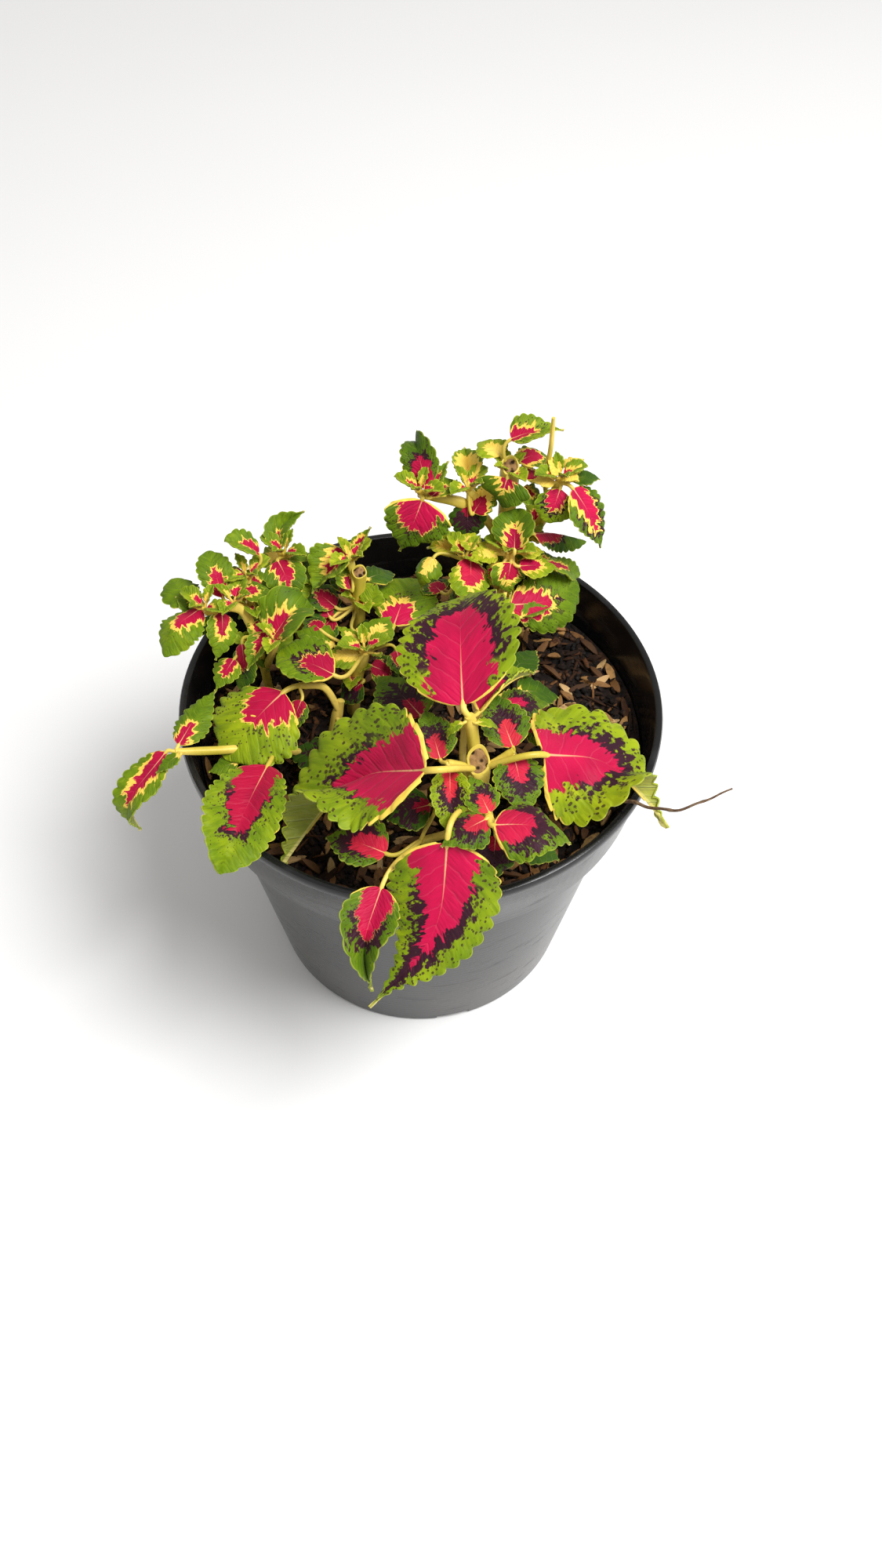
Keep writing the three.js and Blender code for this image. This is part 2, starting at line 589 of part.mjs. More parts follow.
function pot() {
  const inner = RIM_RADIUS - LIP_WIDTH;
  let body = solid(turned([
    [0, 0], [BASE_RADIUS, 0], [BODY_TOP_RADIUS, COLLAR_FOOT_Z - 1.5], [COLLAR_FOOT_RADIUS, COLLAR_FOOT_Z],
    [COLLAR_TOP_RADIUS, POT_HEIGHT - LIP_DEPTH], [RIM_RADIUS, POT_HEIGHT - LIP_DEPTH],
    [RIM_RADIUS, POT_HEIGHT - 0.8], [RIM_RADIUS - 0.8, POT_HEIGHT], [inner + 0.5, POT_HEIGHT],
    [inner, POT_HEIGHT - 0.8], [inner, POT_HEIGHT - LIP_DEPTH],
    [COLLAR_FOOT_RADIUS - WALL, COLLAR_FOOT_Z + WALL], [BODY_TOP_RADIUS - WALL, COLLAR_FOOT_Z - 0.5],
    [BASE_RADIUS - WALL, FLOOR], [0, FLOOR],
  ], POT_SIDES));
  for (let i = 0; i < NOTCH.count; i += 1) {
    const cutter = new THREE.BoxGeometry(NOTCH.depth + 2, NOTCH.width, NOTCH.height * 2);
    cutter.translate(BASE_RADIUS - NOTCH.depth / 2 + 1, 0, 0);
    cutter.rotateZ(rad(NOTCH.first + (360 * i) / NOTCH.count));
    body = body.subtract(solid(cutter));
  }
  for (let i = 0; i < DRAIN.count; i += 1) {
    const cutter = new THREE.CylinderGeometry(DRAIN.radius, DRAIN.radius, FLOOR * 3, 12).rotateX(Math.PI / 2);
    cutter.translate(DRAIN.ring, 0, FLOOR / 2).rotateZ(rad((360 * i) / DRAIN.count));
    body = body.subtract(solid(cutter));
  }
  return geometryOf(body);
}

/** How far the compost's surface stands above or below its level at a place; it is level at the wall. */
function relief(x, y) {
  const inside = smooth((SOIL_RADIUS - Math.hypot(x, y)) / SOIL_FADE);
  const broad = Math.sin(x * 0.13 + 1) * Math.cos(y * 0.11);
  const fine = 0.6 * Math.sin(x * 0.31 - y * 0.27);
  return inside * SOIL_RELIEF * (broad + fine);
}

function compost(rooted) {
  const profile = [
    [0, FLOOR + SOIL_GAP], [BASE_RADIUS - WALL - SOIL_GAP, FLOOR + SOIL_GAP],
    [BODY_TOP_RADIUS - WALL - SOIL_GAP, COLLAR_FOOT_Z - 0.5 + SOIL_GAP],
    [COLLAR_FOOT_RADIUS - WALL - SOIL_GAP, COLLAR_FOOT_Z + WALL + SOIL_GAP],
  ];
  for (let i = SOIL_RINGS; i >= 0; i -= 1) profile.push([(SOIL_RADIUS * i) / SOIL_RINGS, SOIL_TOP]);
  const lump = turned(profile, SOIL_SIDES);
  const ground = lump.getAttribute('position');
  for (let i = 0; i < ground.count; i += 1) {
    if (ground.getZ(i) === SOIL_TOP) ground.setZ(i, SOIL_TOP + relief(ground.getX(i), ground.getY(i)));
  }
  let body = solid(lump);
  const next = seeded(8);
  for (let i = 0; i < HUSKS; i += 1) {
    const r = (SOIL_RADIUS - HUSK.length) * Math.sqrt(next());
    const a = 2 * Math.PI * next();
    const [x, y] = [r * Math.cos(a), r * Math.sin(a)];
    const husk = new THREE.OctahedronGeometry(0.5).scale(HUSK.length, HUSK.width, HUSK.depth);
    husk.rotateY(rad(30 * (next() - 0.5))).rotateZ(2 * Math.PI * next());
    body = body.add(solid(husk.translate(x, y, SOIL_TOP + relief(x, y) - HUSK.sunk)));
  }
  for (const [radius, [[x, y, z], ...rest], steps = STEM_STEPS] of rooted) {
    const hole = [[x, y, z - HOLE_GAP], ...rest].map(vec);
    body = body.subtract(bar(hole, radius + HOLE_GAP, STEM_SIDES, steps));
  }
  return geometryOf(body);
}

// ---------------------------------------------------------------- assembly
const potPlastic = new THREE.MeshStandardMaterial({ color: 0x232426, roughness: 0.42, metalness: 0 });
const compostBrown = new THREE.MeshStandardMaterial({ color: 0x2b1d14, roughness: 0.95, metalness: 0 });
const leafGreen = new THREE.MeshStandardMaterial({ color: 0x7ba02f, roughness: 0.55, metalness: 0 });
const twigBrown = new THREE.MeshStandardMaterial({ color: 0x6b5140, roughness: 0.9, metalness: 0 });

const coleus = new THREE.Group();
coleus.name = 'potted_coleus';

function place(name, geometry, material) {
  const mesh = new THREE.Mesh(geometry, material);
  mesh.name = name;
  coleus.add(mesh);
}

const rooted = [...Object.values(plants).flatMap(({ stems }) => stems), [TWIG.radius, TWIG.path, TWIG_STEPS]];
place('pot', pot(), potPlastic);
place('compost', compost(rooted), compostBrown);
for (const [name, plant] of Object.entries(plants)) place(name, geometryOf(leafyStem(plant)), leafGreen);
place('twig', geometryOf(bar(TWIG.path.map(vec), TWIG.radius, STEM_SIDES, TWIG_STEPS)), twigBrown);

export default coleus;
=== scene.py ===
# %% [markdown]
# # A young coleus in a black nursery pot
#
# Eight rooted stems of one variegated coleus stand in a 17 cm grower's pot, in dark compost with rice
# husks. Lengths in the tables are millimetres, and the scene is in metres: +Z is up, -Y is the front, and
# the origin is the middle of the pot's underside.

# %% Load the measured frame
import itertools
import math

import bpy
import numpy as np
from mathutils import Matrix, Vector


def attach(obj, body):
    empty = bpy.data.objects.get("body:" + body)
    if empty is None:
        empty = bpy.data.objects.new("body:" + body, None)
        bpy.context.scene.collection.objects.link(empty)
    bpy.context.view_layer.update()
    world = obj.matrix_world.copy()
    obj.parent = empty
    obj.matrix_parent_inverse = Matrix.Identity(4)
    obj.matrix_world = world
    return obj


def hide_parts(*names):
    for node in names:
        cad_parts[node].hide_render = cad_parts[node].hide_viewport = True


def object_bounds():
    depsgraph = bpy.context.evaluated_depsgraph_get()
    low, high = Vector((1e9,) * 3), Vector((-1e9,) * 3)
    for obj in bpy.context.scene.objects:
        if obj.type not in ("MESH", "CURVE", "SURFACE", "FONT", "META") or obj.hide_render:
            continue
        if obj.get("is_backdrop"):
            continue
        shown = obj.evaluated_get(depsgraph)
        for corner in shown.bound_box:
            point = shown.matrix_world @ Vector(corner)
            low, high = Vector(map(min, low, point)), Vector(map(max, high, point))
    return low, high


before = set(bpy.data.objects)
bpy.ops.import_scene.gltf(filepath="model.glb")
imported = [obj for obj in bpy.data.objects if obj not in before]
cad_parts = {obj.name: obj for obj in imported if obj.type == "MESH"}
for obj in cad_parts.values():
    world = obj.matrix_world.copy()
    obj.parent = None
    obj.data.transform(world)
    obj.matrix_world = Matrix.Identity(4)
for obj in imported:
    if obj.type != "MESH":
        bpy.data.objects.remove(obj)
cad_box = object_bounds()
MM = 0.001
print("nodes in the frame:", sorted(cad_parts))

# %% [markdown]
# ## Tools for shaping
#
# A leaf, a stem or a husk is a plain primitive whose corners are then placed by a formula, because no
# edit-mode step gives a blade that arches, folds and twists at once. These few functions are shared by
# every piece.


# %% Names and selection
def fresh(name):
    """The object that the last primitive made, under its own name."""
    piece = bpy.context.object
    piece.name = piece.data.name = name
    return piece


def only(*pieces):
    """Select just these, and make the first one active."""
    bpy.ops.object.select_all(action="DESELECT")
    for piece in pieces:
        piece.select_set(True)
    bpy.context.view_layer.objects.active = pieces[0]


# %% Corners and notes
def corners(piece):
    places = np.empty(len(piece.data.vertices) * 3)
    piece.data.vertices.foreach_get("co", places)
    return places.reshape(-1, 3)


def set_corners(piece, places):
    piece.data.vertices.foreach_set("co", np.asarray(places, float).ravel())
    piece.data.update()


def note(piece, name, *columns):
    """Write up to three numbers on every corner, for the finishes to read."""
    values = np.zeros((len(piece.data.vertices), 3))
    for i, column in enumerate(columns):
        values[:, i] = column
    piece.data.attributes.new(name, "FLOAT_VECTOR", "POINT").data.foreach_set("vector", values.ravel())


# %% Copies, joins and modifiers
def own_copy(blank, name):
    """A copy with its own mesh."""
    piece = blank.copy()
    piece.data = blank.data.copy()
    piece.name = piece.data.name = name
    bpy.context.collection.objects.link(piece)
    return piece


def joined(pieces, name):
    only(*pieces)
    if len(pieces) > 1:
        bpy.ops.object.join()
    return fresh(name)


def apply(piece, name, kind, **settings):
    """Add a modifier with these settings and apply it."""
    modifier = piece.modifiers.new(name, kind)
    for key, value in settings.items():
        setattr(modifier, key, value)
    only(piece)
    bpy.ops.object.modifier_apply(modifier=name)


def rounded(piece, degrees):
    """Shade smooth, apart from edges sharper than this."""
    only(piece)
    bpy.ops.object.shade_smooth_by_angle(angle=math.radians(degrees))


def outward(piece):
    """Turn all faces to the outside."""
    only(piece)
    bpy.ops.object.mode_set(mode="EDIT")
    bpy.ops.mesh.select_all(action="SELECT")
    bpy.ops.mesh.normals_make_consistent(inside=False)
    bpy.ops.object.mode_set(mode="OBJECT")


# %% Small sums
def smooth(x):
    """A soft step from 0 at 0 to 1 at 1."""
    x = np.clip(x, 0, 1)
    return x * x * (3 - 2 * x)


def unit(v):
    return v / np.linalg.norm(v)


def between(values, i, share):
    """Part of the way from each chosen entry to the next one."""
    return values[i] * (1 - share) + values[i + 1] * share


# %% [markdown]
# ## Tools for finishes
#
# Every finish is a small board of nodes around one Principled shader. A number that is the same all over is
# set on the shader's own socket; only what varies over the surface is wired.


# %% Paint
def paint(red, green, blue):
    """A screen colour as the linear colour that a shader takes."""
    channels = [c / 255 for c in (red, green, blue)]
    return (*(c / 12.92 if c < 0.04 else ((c + 0.055) / 1.055) ** 2.4 for c in channels), 1)


# %% A board of nodes
class Board:
    """The nodes of one material."""

    def __init__(self, name, **constants):
        self.material = bpy.data.materials.new(name)
        self.material.use_nodes = True
        self.tree = self.material.node_tree
        self.shader = self.tree.nodes["Principled BSDF"]
        for socket, value in constants.items():
            self.shader.inputs[socket.replace("_", " ")].default_value = value

    def give(self, socket, value):
        if isinstance(value, bpy.types.NodeSocket):
            self.tree.links.new(value, socket)
        else:
            socket.default_value = value

    def node(self, kind, settings=(), **sockets):
        made = self.tree.nodes.new("ShaderNode" + kind)
        for key, value in dict(settings).items():
            setattr(made, key, value)
        for key, value in sockets.items():
            self.give(made.inputs[key.replace("_", " ")], value)
        return made

    def drive(self, socket, value):
        self.give(self.shader.inputs[socket], value)

    def math(self, how, *values):
        made = self.node("Math", {"operation": how})
        for socket, value in zip(made.inputs, values):
            self.give(socket, value)
        return made.outputs[0]

    def plus(self, a, b):
        return self.math("ADD", a, b)

    def less(self, a, b):
        return self.math("SUBTRACT", a, b)

    def times(self, a, b):
        return self.math("MULTIPLY", a, b)

    def scaled(self, value, by, shift):
        """The value times one number, plus another."""
        return self.math("MULTIPLY_ADD", value, by, shift)

    def fade(self, value, low, high, start=0.0, end=1.0):
        """start below low, end above high, and a smooth step between."""
        made = self.node("MapRange", {"interpolation_type": "SMOOTHSTEP"}, Value=value)
        for key, given in (("From Min", low), ("From Max", high), ("To Min", start), ("To Max", end)):
            self.give(made.inputs[key], given)
        return made.outputs[0]

    def over(self, share, below, above):
        """One colour laid over another."""
        made = self.node("Mix", {"data_type": "RGBA"})
        for socket, value in zip((0, 6, 7), (share, below, above)):
            self.give(made.inputs[socket], value)
        return made.outputs[2]

    def noise(self, where, scale, detail=2.0):
        return self.node("TexNoise", Vector=where, Scale=scale, Detail=detail).outputs["Fac"]

    def cells(self, where, scale, feature="F1"):
        return self.node("TexVoronoi", {"feature": feature}, Vector=where, Scale=scale).outputs["Distance"]

    def read(self, name):
        """A noted vector and its three numbers."""
        whole = self.node("Attribute", {"attribute_name": name}).outputs["Vector"]
        return whole, self.node("SeparateXYZ", Vector=whole).outputs

    def place(self):
        return self.node("TexCoord").outputs["Object"]

    def stretched(self, where, *scale):
        """The same places with each way scaled, so that a pattern runs long where the scale is small."""
        return self.node("Mapping", Vector=where, Scale=scale).outputs[0]

    def height_of(self, where):
        return self.node("SeparateXYZ", Vector=where).outputs["Z"]

    def ramp(self, value, *stops):
        """Colours along a value. The two ends come first, because a new ramp already has them."""
        made = self.node("ValToRGB", Fac=value)
        band = made.color_ramp.elements
        for i, (at, colour) in enumerate(stops):
            stop = band[i] if i < 2 else band.new(at)
            stop.position, stop.color = at, colour
        return made.outputs["Color"]

    def raise_by(self, height, distance, strength=1.0):
        """Bump the surface by a height, with the distance in metres."""
        made = self.node("Bump", Height=height, Distance=distance, Strength=strength)
        self.drive("Normal", made.outputs["Normal"])


# %% [markdown]
# ## The view, the floor and the light
#
# The pot is seen from its front and well above, at about 53 degrees down. The lens and the place of the eye
# come from the pot's own ellipses. A pale floor and one broad soft lamp give the plain studio light, and a
# pale sky fills the shade.

# %% View
LOOK_DOWN, LOOK_RIGHT, LEAN = 53.14, 1.35, 1.34
EYE_PLACE, LENS, FILM_WIDTH = (0, -0.3224, 0.5085), 32.4, 36

eye = bpy.data.cameras.new("view")
eye.lens, eye.sensor_width = LENS, FILM_WIDTH
camera = bpy.data.objects.new("view", eye)
turns = [Matrix.Rotation(math.radians(degrees), 4, axis)
         for degrees, axis in ((-LOOK_RIGHT, "Z"), (90 - LOOK_DOWN, "X"), (LEAN, "Z"))]
camera.location = EYE_PLACE
camera.rotation_euler = (turns[0] @ turns[1] @ turns[2]).to_euler()
bpy.context.collection.objects.link(camera)
bpy.context.scene.camera = camera
bpy.context.scene.view_settings.view_transform = "Standard"
print("camera at", tuple(camera.location))

# %% Floor
FLOOR_SIZE, FLOOR_DROP = 6, 0.0005
bpy.ops.mesh.primitive_plane_add(size=FLOOR_SIZE)
floor = fresh("floor")
pale = Board("pale floor", Roughness=0.7)
tone = pale.noise(pale.place(), 3, 3)
pale.drive("Base Color", pale.over(tone, (0.86, 0.86, 0.86, 1), (0.9, 0.9, 0.9, 1)))
floor.data.materials.append(pale.material)
floor.location.z = -FLOOR_DROP
floor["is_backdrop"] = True

# %% Sky and lamp
SKY_COLOUR, SKY_STRENGTH = (1, 0.985, 0.96, 1), 0.52
LAMP_PLACE, LAMP_AIM, LAMP_SIZE, LAMP_WATTS = (0.6, -0.35, 1.4), (0, 0, 0.12), 0.8, 27

sky = bpy.data.worlds.new("pale sky")
sky.use_nodes = True
sky.node_tree.nodes["Background"].inputs["Color"].default_value = SKY_COLOUR
sky.node_tree.nodes["Background"].inputs["Strength"].default_value = SKY_STRENGTH
bpy.context.scene.world = sky

key_light = bpy.data.lights.new("soft key", "AREA")
key_light.shape, key_light.size, key_light.energy = "DISK", LAMP_SIZE, LAMP_WATTS
key = bpy.data.objects.new("soft key", key_light)
key.location = LAMP_PLACE
key.rotation_euler = (Vector(LAMP_AIM) - Vector(LAMP_PLACE)).to_track_quat("-Z", "Y").to_euler()
bpy.context.collection.objects.link(key)
print("lamp:", LAMP_WATTS, "W,", LAMP_SIZE, "m across")

# %% [markdown]
# ## Leaf finishes
#
# On the real leaf the colours are living zones: a bright pink heart without chlorophyll, a torn band of
# dark purple at its outer side, a yellow hem along the base, and a lime or green margin sprinkled with
# purple specks. Zones tear along the side veins, so every edge is disturbed by a noise stretched that way.
# How far a point is from the heart's edge is noted on the blade when it is built, as a share of the blade's
# width, and this board only reads it.

# %% Leaf, upper side: where its zones tear
top = Board("leaf, upper side", Specular_IOR_Level=0.14, Sheen_Weight=0.03, Sheen_Roughness=0.5)
_, (outside, hem, edge) = top.read("zone")
grain, _ = top.read("grain")
_, (vein_count, off_midrib, along) = top.read("rib")
_, (lime, hue, speck) = top.read("tone")
_, (band, halo, _) = top.read("trim")
even, _ = top.read("spot")
broad = top.noise(even, 0.4, 2)
blotch = top.noise(even, 1.1, 4)
tear = top.noise(grain, 2.0, 4)
wander = top.scaled(top.noise(even, 0.9, 2), 0.5, -0.25)
side_vein = top.math("PINGPONG", top.plus(vein_count, wander), 0.5)
vein_line = top.fade(side_vein, 0.0, 0.06, 1.0, 0.0)
# a heart with a yellow edge runs out along its veins like a star
star = top.times(top.fade(halo, 0.0, 0.06, 0.06, 0.17), top.less(side_vein, 0.24))
spikes = top.math("ABSOLUTE", top.scaled(tear, 2.0, -1.0))
jag = top.plus(top.scaled(spikes, 0.2, -0.05), star)
torn = top.plus(outside, top.plus(top.scaled(blotch, 0.22, -0.11), jag))

# %% Green margin with purple specks
green = top.ramp(top.plus(lime, top.scaled(broad, 0.4, -0.2)),
                 (0.0, paint(24, 46, 6)), (1.0, paint(228, 202, 76)), (0.25, paint(54, 86, 8)),
                 (0.5, paint(104, 130, 12)), (0.7, paint(146, 162, 18)), (0.87, paint(194, 188, 44)))
green = top.over(top.times(vein_line, 0.14), green, paint(172, 180, 60))
green = top.over(top.times(top.fade(tear, 0.42, 0.66), 0.35), green, paint(52, 80, 10))
near_band = top.fade(outside, 0.05, 0.4, 0.4, 0.24)
dot_size = top.times(top.times(speck, near_band), top.fade(blotch, 0.42, 0.56, 0.25, 1.0))
dotted = top.fade(top.less(top.cells(even, 3.6), dot_size), -0.05, 0.05, 1.0, 0.0)
colour = top.over(top.times(dotted, 0.85), green, paint(54, 34, 26))

# %% Purple band
purple = top.over(broad, paint(32, 12, 24), paint(64, 26, 40))
lace = top.noise(even, 2.6, 4)
ragged = top.scaled(top.plus(tear, top.times(lace, 2.0)), 0.16, -0.24)
band_edge = top.less(top.plus(torn, ragged), band)
in_band = top.times(top.fade(band_edge, -0.012, 0.03, 1.0, 0.0), top.fade(band, 0.005, 0.03))
colour = top.over(in_band, colour, purple)

# %% Yellow edge, pink heart and yellow hem
cream = top.over(broad, paint(244, 214, 104), paint(226, 186, 60))
is_yellow = top.times(top.fade(torn, -0.012, 0.012, 1.0, 0.0), top.fade(halo, 0.0, 0.02))
colour = top.over(is_yellow, colour, cream)
heart = top.ramp(hue, (0.0, paint(146, 8, 32)), (1.0, paint(208, 50, 54)), (0.5, paint(192, 14, 68)))
heart = top.over(top.fade(broad, 0.3, 0.75, 0.0, 0.55), heart, paint(140, 8, 50))
heart = top.over(top.times(vein_line, 0.08), heart, paint(244, 130, 150))
pink_edge = top.plus(torn, top.times(halo, top.fade(broad, 0.3, 0.7, 0.1, 0.9)))
in_heart = top.times(top.fade(pink_edge, -0.016, 0.004, 1.0, 0.0), top.fade(halo, 0.4, 0.5, 1.0, 0.0))
colour = top.over(in_heart, colour, heart)
hem_edge = top.plus(hem, top.scaled(top.plus(tear, broad), 2.4, -2.7))
colour = top.over(top.fade(hem_edge, -0.15, 0.2), colour, cream)

# %% Midrib, pale rim with a painted highlight, gloss and puffed skin
midrib_width = top.fade(along, 0.0, 0.5, 0.06, -0.01)
midrib = top.times(top.fade(top.less(off_midrib, midrib_width), -0.03, 0.035, 1.0, 0.0),
                   top.fade(along, 0.0, 0.6, 0.6, 0.05))
colour = top.over(midrib, colour, paint(250, 214, 150))
# the pale rim is the margin's own yellowish line with a painted highlight, where the lobes catch light
colour = top.over(top.times(top.fade(edge, 0.05, 0.5, 1.0, 0.0), 0.4), colour, paint(190, 196, 70))
top.drive("Base Color", colour)
top.drive("Roughness", top.scaled(tear, 0.22, 0.42))
puff = top.plus(top.times(top.cells(grain, 2.6, "DISTANCE_TO_EDGE"), 0.8),
                top.times(top.fade(side_vein, 0.0, 0.16), 0.3))
top.raise_by(puff, 0.0006, 0.65)
print("nodes of the upper side:", len(top.tree.nodes))

# %% Leaf, underside
under = Board("leaf, underside", Roughness=0.62, Specular_IOR_Level=0.3, Sheen_Weight=0.12)
_, (outside, _, _) = under.read("zone")
grain, _ = under.read("grain")
_, (vein_count, off_midrib, _) = under.read("rib")
_, (lime, _, _) = under.read("tone")
olive = under.ramp(under.plus(lime, under.scaled(under.noise(grain, 1.2), 0.3, -0.2)),
                   (0.0, paint(78, 94, 26)), (1.0, paint(200, 190, 80)), (0.5, paint(138, 148, 48)))
blush = under.plus(outside, under.scaled(under.noise(grain, 2.4, 3), 0.3, -0.12))
olive = under.over(under.fade(blush, -0.1, 0.03, 0.5, 0.0), olive, paint(190, 104, 96))
net = under.fade(under.cells(grain, 2.2, "DISTANCE_TO_EDGE"), 0.02, 0.12, 1.0, 0.0)
side_vein = under.math("PINGPONG", vein_count, 0.5)
lines = under.math("MAXIMUM", under.times(net, 0.4), under.fade(side_vein, 0.02, 0.09, 0.9, 0.0))
olive = under.over(lines, olive, paint(158, 166, 84))
olive = under.over(under.fade(off_midrib, 0.06, 0.13, 1.0, 0.0), olive, paint(206, 196, 110))
under.drive("Base Color", olive)
under.raise_by(lines, 0.0004, 0.8)
print("nodes of the underside:", len(under.tree.nodes))

# %% [markdown]
# ## Stem finishes
#
# Young coleus stems are square, juicy and pale: yellow-green, nearly yellow where the leaves carry no
# green, and greener and duller near the compost. Fine lengthwise fibres break the colour up. Where a stem
# was cut back, its end has dried to brown pith full of small pits.

# %% Stem skin and dried cut
sap = Board("stem skin", Roughness=0.42, Specular_IOR_Level=0.4)
where = sap.place()
fibre = sap.noise(sap.stretched(where, 1, 1, 0.25), 900, 3)
skin = sap.over(sap.fade(sap.noise(where, 45, 2), 0.35, 0.65), paint(198, 178, 62), paint(238, 206, 98))
skin = sap.over(sap.fade(fibre, 0.45, 0.75, 0.0, 0.25), skin, paint(160, 158, 44))
skin = sap.over(sap.fade(sap.height_of(where), 0.108, 0.128, 0.8, 0.0), skin, paint(104, 92, 40))
sap.drive("Base Color", skin)
sap.raise_by(fibre, 0.0002, 0.5)

dry = Board("dried cut", Roughness=0.9, Specular_IOR_Level=0.15)
where = dry.place()
pits = dry.cells(where, 520)
pith = dry.over(dry.noise(where, 500, 4), paint(84, 54, 30), paint(188, 148, 98))
# the pits are painted nearly black: painted shade in the recesses of the pith
dry.drive("Base Color", dry.over(dry.fade(pits, 0.25, 0.5, 0.95, 0.0), pith, paint(26, 14, 8)))
dry.raise_by(pits, 0.0008, 1.0)
print("finishes:", [m.name for m in bpy.data.materials])

# %% [markdown]
# ## The midrib of a leaf
#
# A leaf hangs on its midrib, so that line comes first. It is drawn as a chain of short steps whose
# direction bends up, down and sideways on its way, and the chain is then turned and scaled to reach from
# base to tip. With every point go its forward, left and up directions, which the blade is built on.

# %% Midrib
SPINE_STEPS = 96


def spine_of(base, tip, own):
    """Points along the midrib with their forward, left and up directions."""
    t = np.linspace(0, 1, SPINE_STEPS + 1)
    pitch = np.radians(own["droop"] * (0.5 - t) - own["hook"] * smooth((t - 0.35) / 0.4))
    yaw = np.radians(own["bend"] * smooth((t - 0.2) / 0.6))
    ahead = np.stack([np.cos(pitch) * np.cos(yaw), np.cos(pitch) * np.sin(yaw), np.sin(pitch)], 1)
    left = np.stack([-np.sin(yaw), np.cos(yaw), 0 * yaw], 1)
    middle = (ahead[1:] + ahead[:-1]) / 2 / SPINE_STEPS
    points = np.vstack([[0, 0, 0], np.cumsum(middle, 0)])
    chord = unit(points[-1])
    across = unit(np.cross([0, 0, 1], chord))
    flat = np.stack([chord, across, np.cross(chord, across)])
    out = np.subtract(tip, base).astype(float)
    far = unit(out)
    beside = unit(np.cross([0, 0, 1], far))
    placed = np.stack([far, beside, np.cross(far, beside)], 1)
    roll = math.radians(own["roll"])
    c, s = math.cos(roll), math.sin(roll)
    rolled = np.array([[1, 0, 0], [0, c, -s], [0, s, c]])
    whole = placed @ rolled @ flat
    ahead, left = ahead @ whole.T, left @ whole.T
    twist = np.radians(own["twist"] * smooth((t - 0.3) / 0.7))[:, None]
    left = left * np.cos(twist) + np.cross(ahead, left) * np.sin(twist)
    scale = np.linalg.norm(out) / np.linalg.norm(points[-1])
    return points @ whole.T * scale + base, ahead, left, np.cross(ahead, left)


def along_spine(spine, t):
    at = np.clip(t * SPINE_STEPS, 0, SPINE_STEPS - 1e-6)
    i = at.astype(int)
    share = (at - i)[:, None]
    return [between(line, i, share) for line in spine]


# %% [markdown]
# ## The blade
#
# A coleus blade is a thin arched plate with a crenate edge. Its midrib and side veins lie sunk in the upper
# face and the skin between them puffs up. The blade starts as a plain grid: one way along it is the length,
# the other the width. Its corners are placed along the bent midrib, and the rounded teeth, the folds and
# the quilting are added. Solidify gives it its thickness later, with the underside as its own finish.

# %% Outline and teeth
SHOULDER = 0.7
ROUND, USUAL_TAPER, POINTED = 0.7, 1.3, 1.8
BLADE_START, BLADE_REACH = 0.012, 0.986
BLADE_THICKNESS = 0.5
TOOTH_PITCH, TOOTH_PITCH_SHARE, TOOTH_ROUNDNESS = 2.0, 0.055, 0.75
TOOTH_CUT, TOOTH_CUT_MOST = 0.11, 0.34
STALK_RADIUS, STALK_SHARE = 0.45, 0.014
ROWS_PER_TOOTH, ROWS, COLUMNS_PER_MM, COLUMNS = 9, (36, 150), 0.62, (10, 26)


def half_width(t, taper):
    """Half the blade's width, as a share of its widest."""
    widest = SHOULDER / (SHOULDER + taper)
    return t**SHOULDER * (1 - t) ** taper / (widest**SHOULDER * (1 - widest) ** taper)


def teeth_along(t, side, teeth, seed):
    """1 at the crown of each rounded tooth, and 0 in the notch beside it."""
    wave = t * teeth + 0.3 * side * smooth(t * 3) + 0.12 * np.sin(t * 9 + seed)
    return np.abs(np.sin(np.pi * wave)) ** TOOTH_ROUNDNESS


# %% Veins and quilting
VEIN_LEAN = 0.8
QUILT_SHARE, QUILT_MOST = 0.007, 0.15
GROOVE_SHARE, GROOVE_MOST = 0.015, 0.4
RUFFLE_SHARE, RIM_ROLL, TOOTH_CUP = 0.014, 0.02, 0.12


def relief_of_skin(t, side, share, off, veins, width, tooth, pitch, teeth, seed):
    """How far the skin stands off the plain sheet: puffed, grooved, ruffled and rolled at its rim."""
    swell = np.abs(np.sin(np.pi * veins)) ** 0.7 - 0.5
    inner = smooth(share * 4) * (1 - share**5) * smooth(t / 0.15)
    quilt = min(QUILT_MOST, QUILT_SHARE * width) * swell * inner
    trough = np.exp(-((off / (0.4 + 0.01 * width)) ** 2))
    groove = -min(GROOVE_MOST, GROOVE_SHARE * width) * trough * smooth(t / 0.1)
    ruffle = RUFFLE_SHARE * width * share**3 * np.sin(2 * np.pi * t * (2 + teeth / 5) + side * 2 + seed)
    cup = -TOOTH_CUP * pitch * (1 - tooth) * share**6 - RIM_ROLL * width * share**8
    return quilt + groove + ruffle * smooth(t / 0.2) + cup + BLADE_THICKNESS / 2


# %% The heart's edge
HEART_LIMITS = (-0.5, 1.5)


def heart_edge(ahead, off, own, length, width):
    """How far each point is outside the heart, as a share of the width, and below nought inside it."""
    a, b = own["reach"] * length, own["spread"] * width / 2
    u, v = ahead / a, off / b
    blunt, full = own["blunt"], own["full"]
    field = u**blunt + v**full - 1
    slope = np.hypot(blunt / a * u ** (blunt - 1), full / b * v ** (full - 1))
    return np.clip(field / np.maximum(slope, 0.6 / b) / width, *HEART_LIMITS)


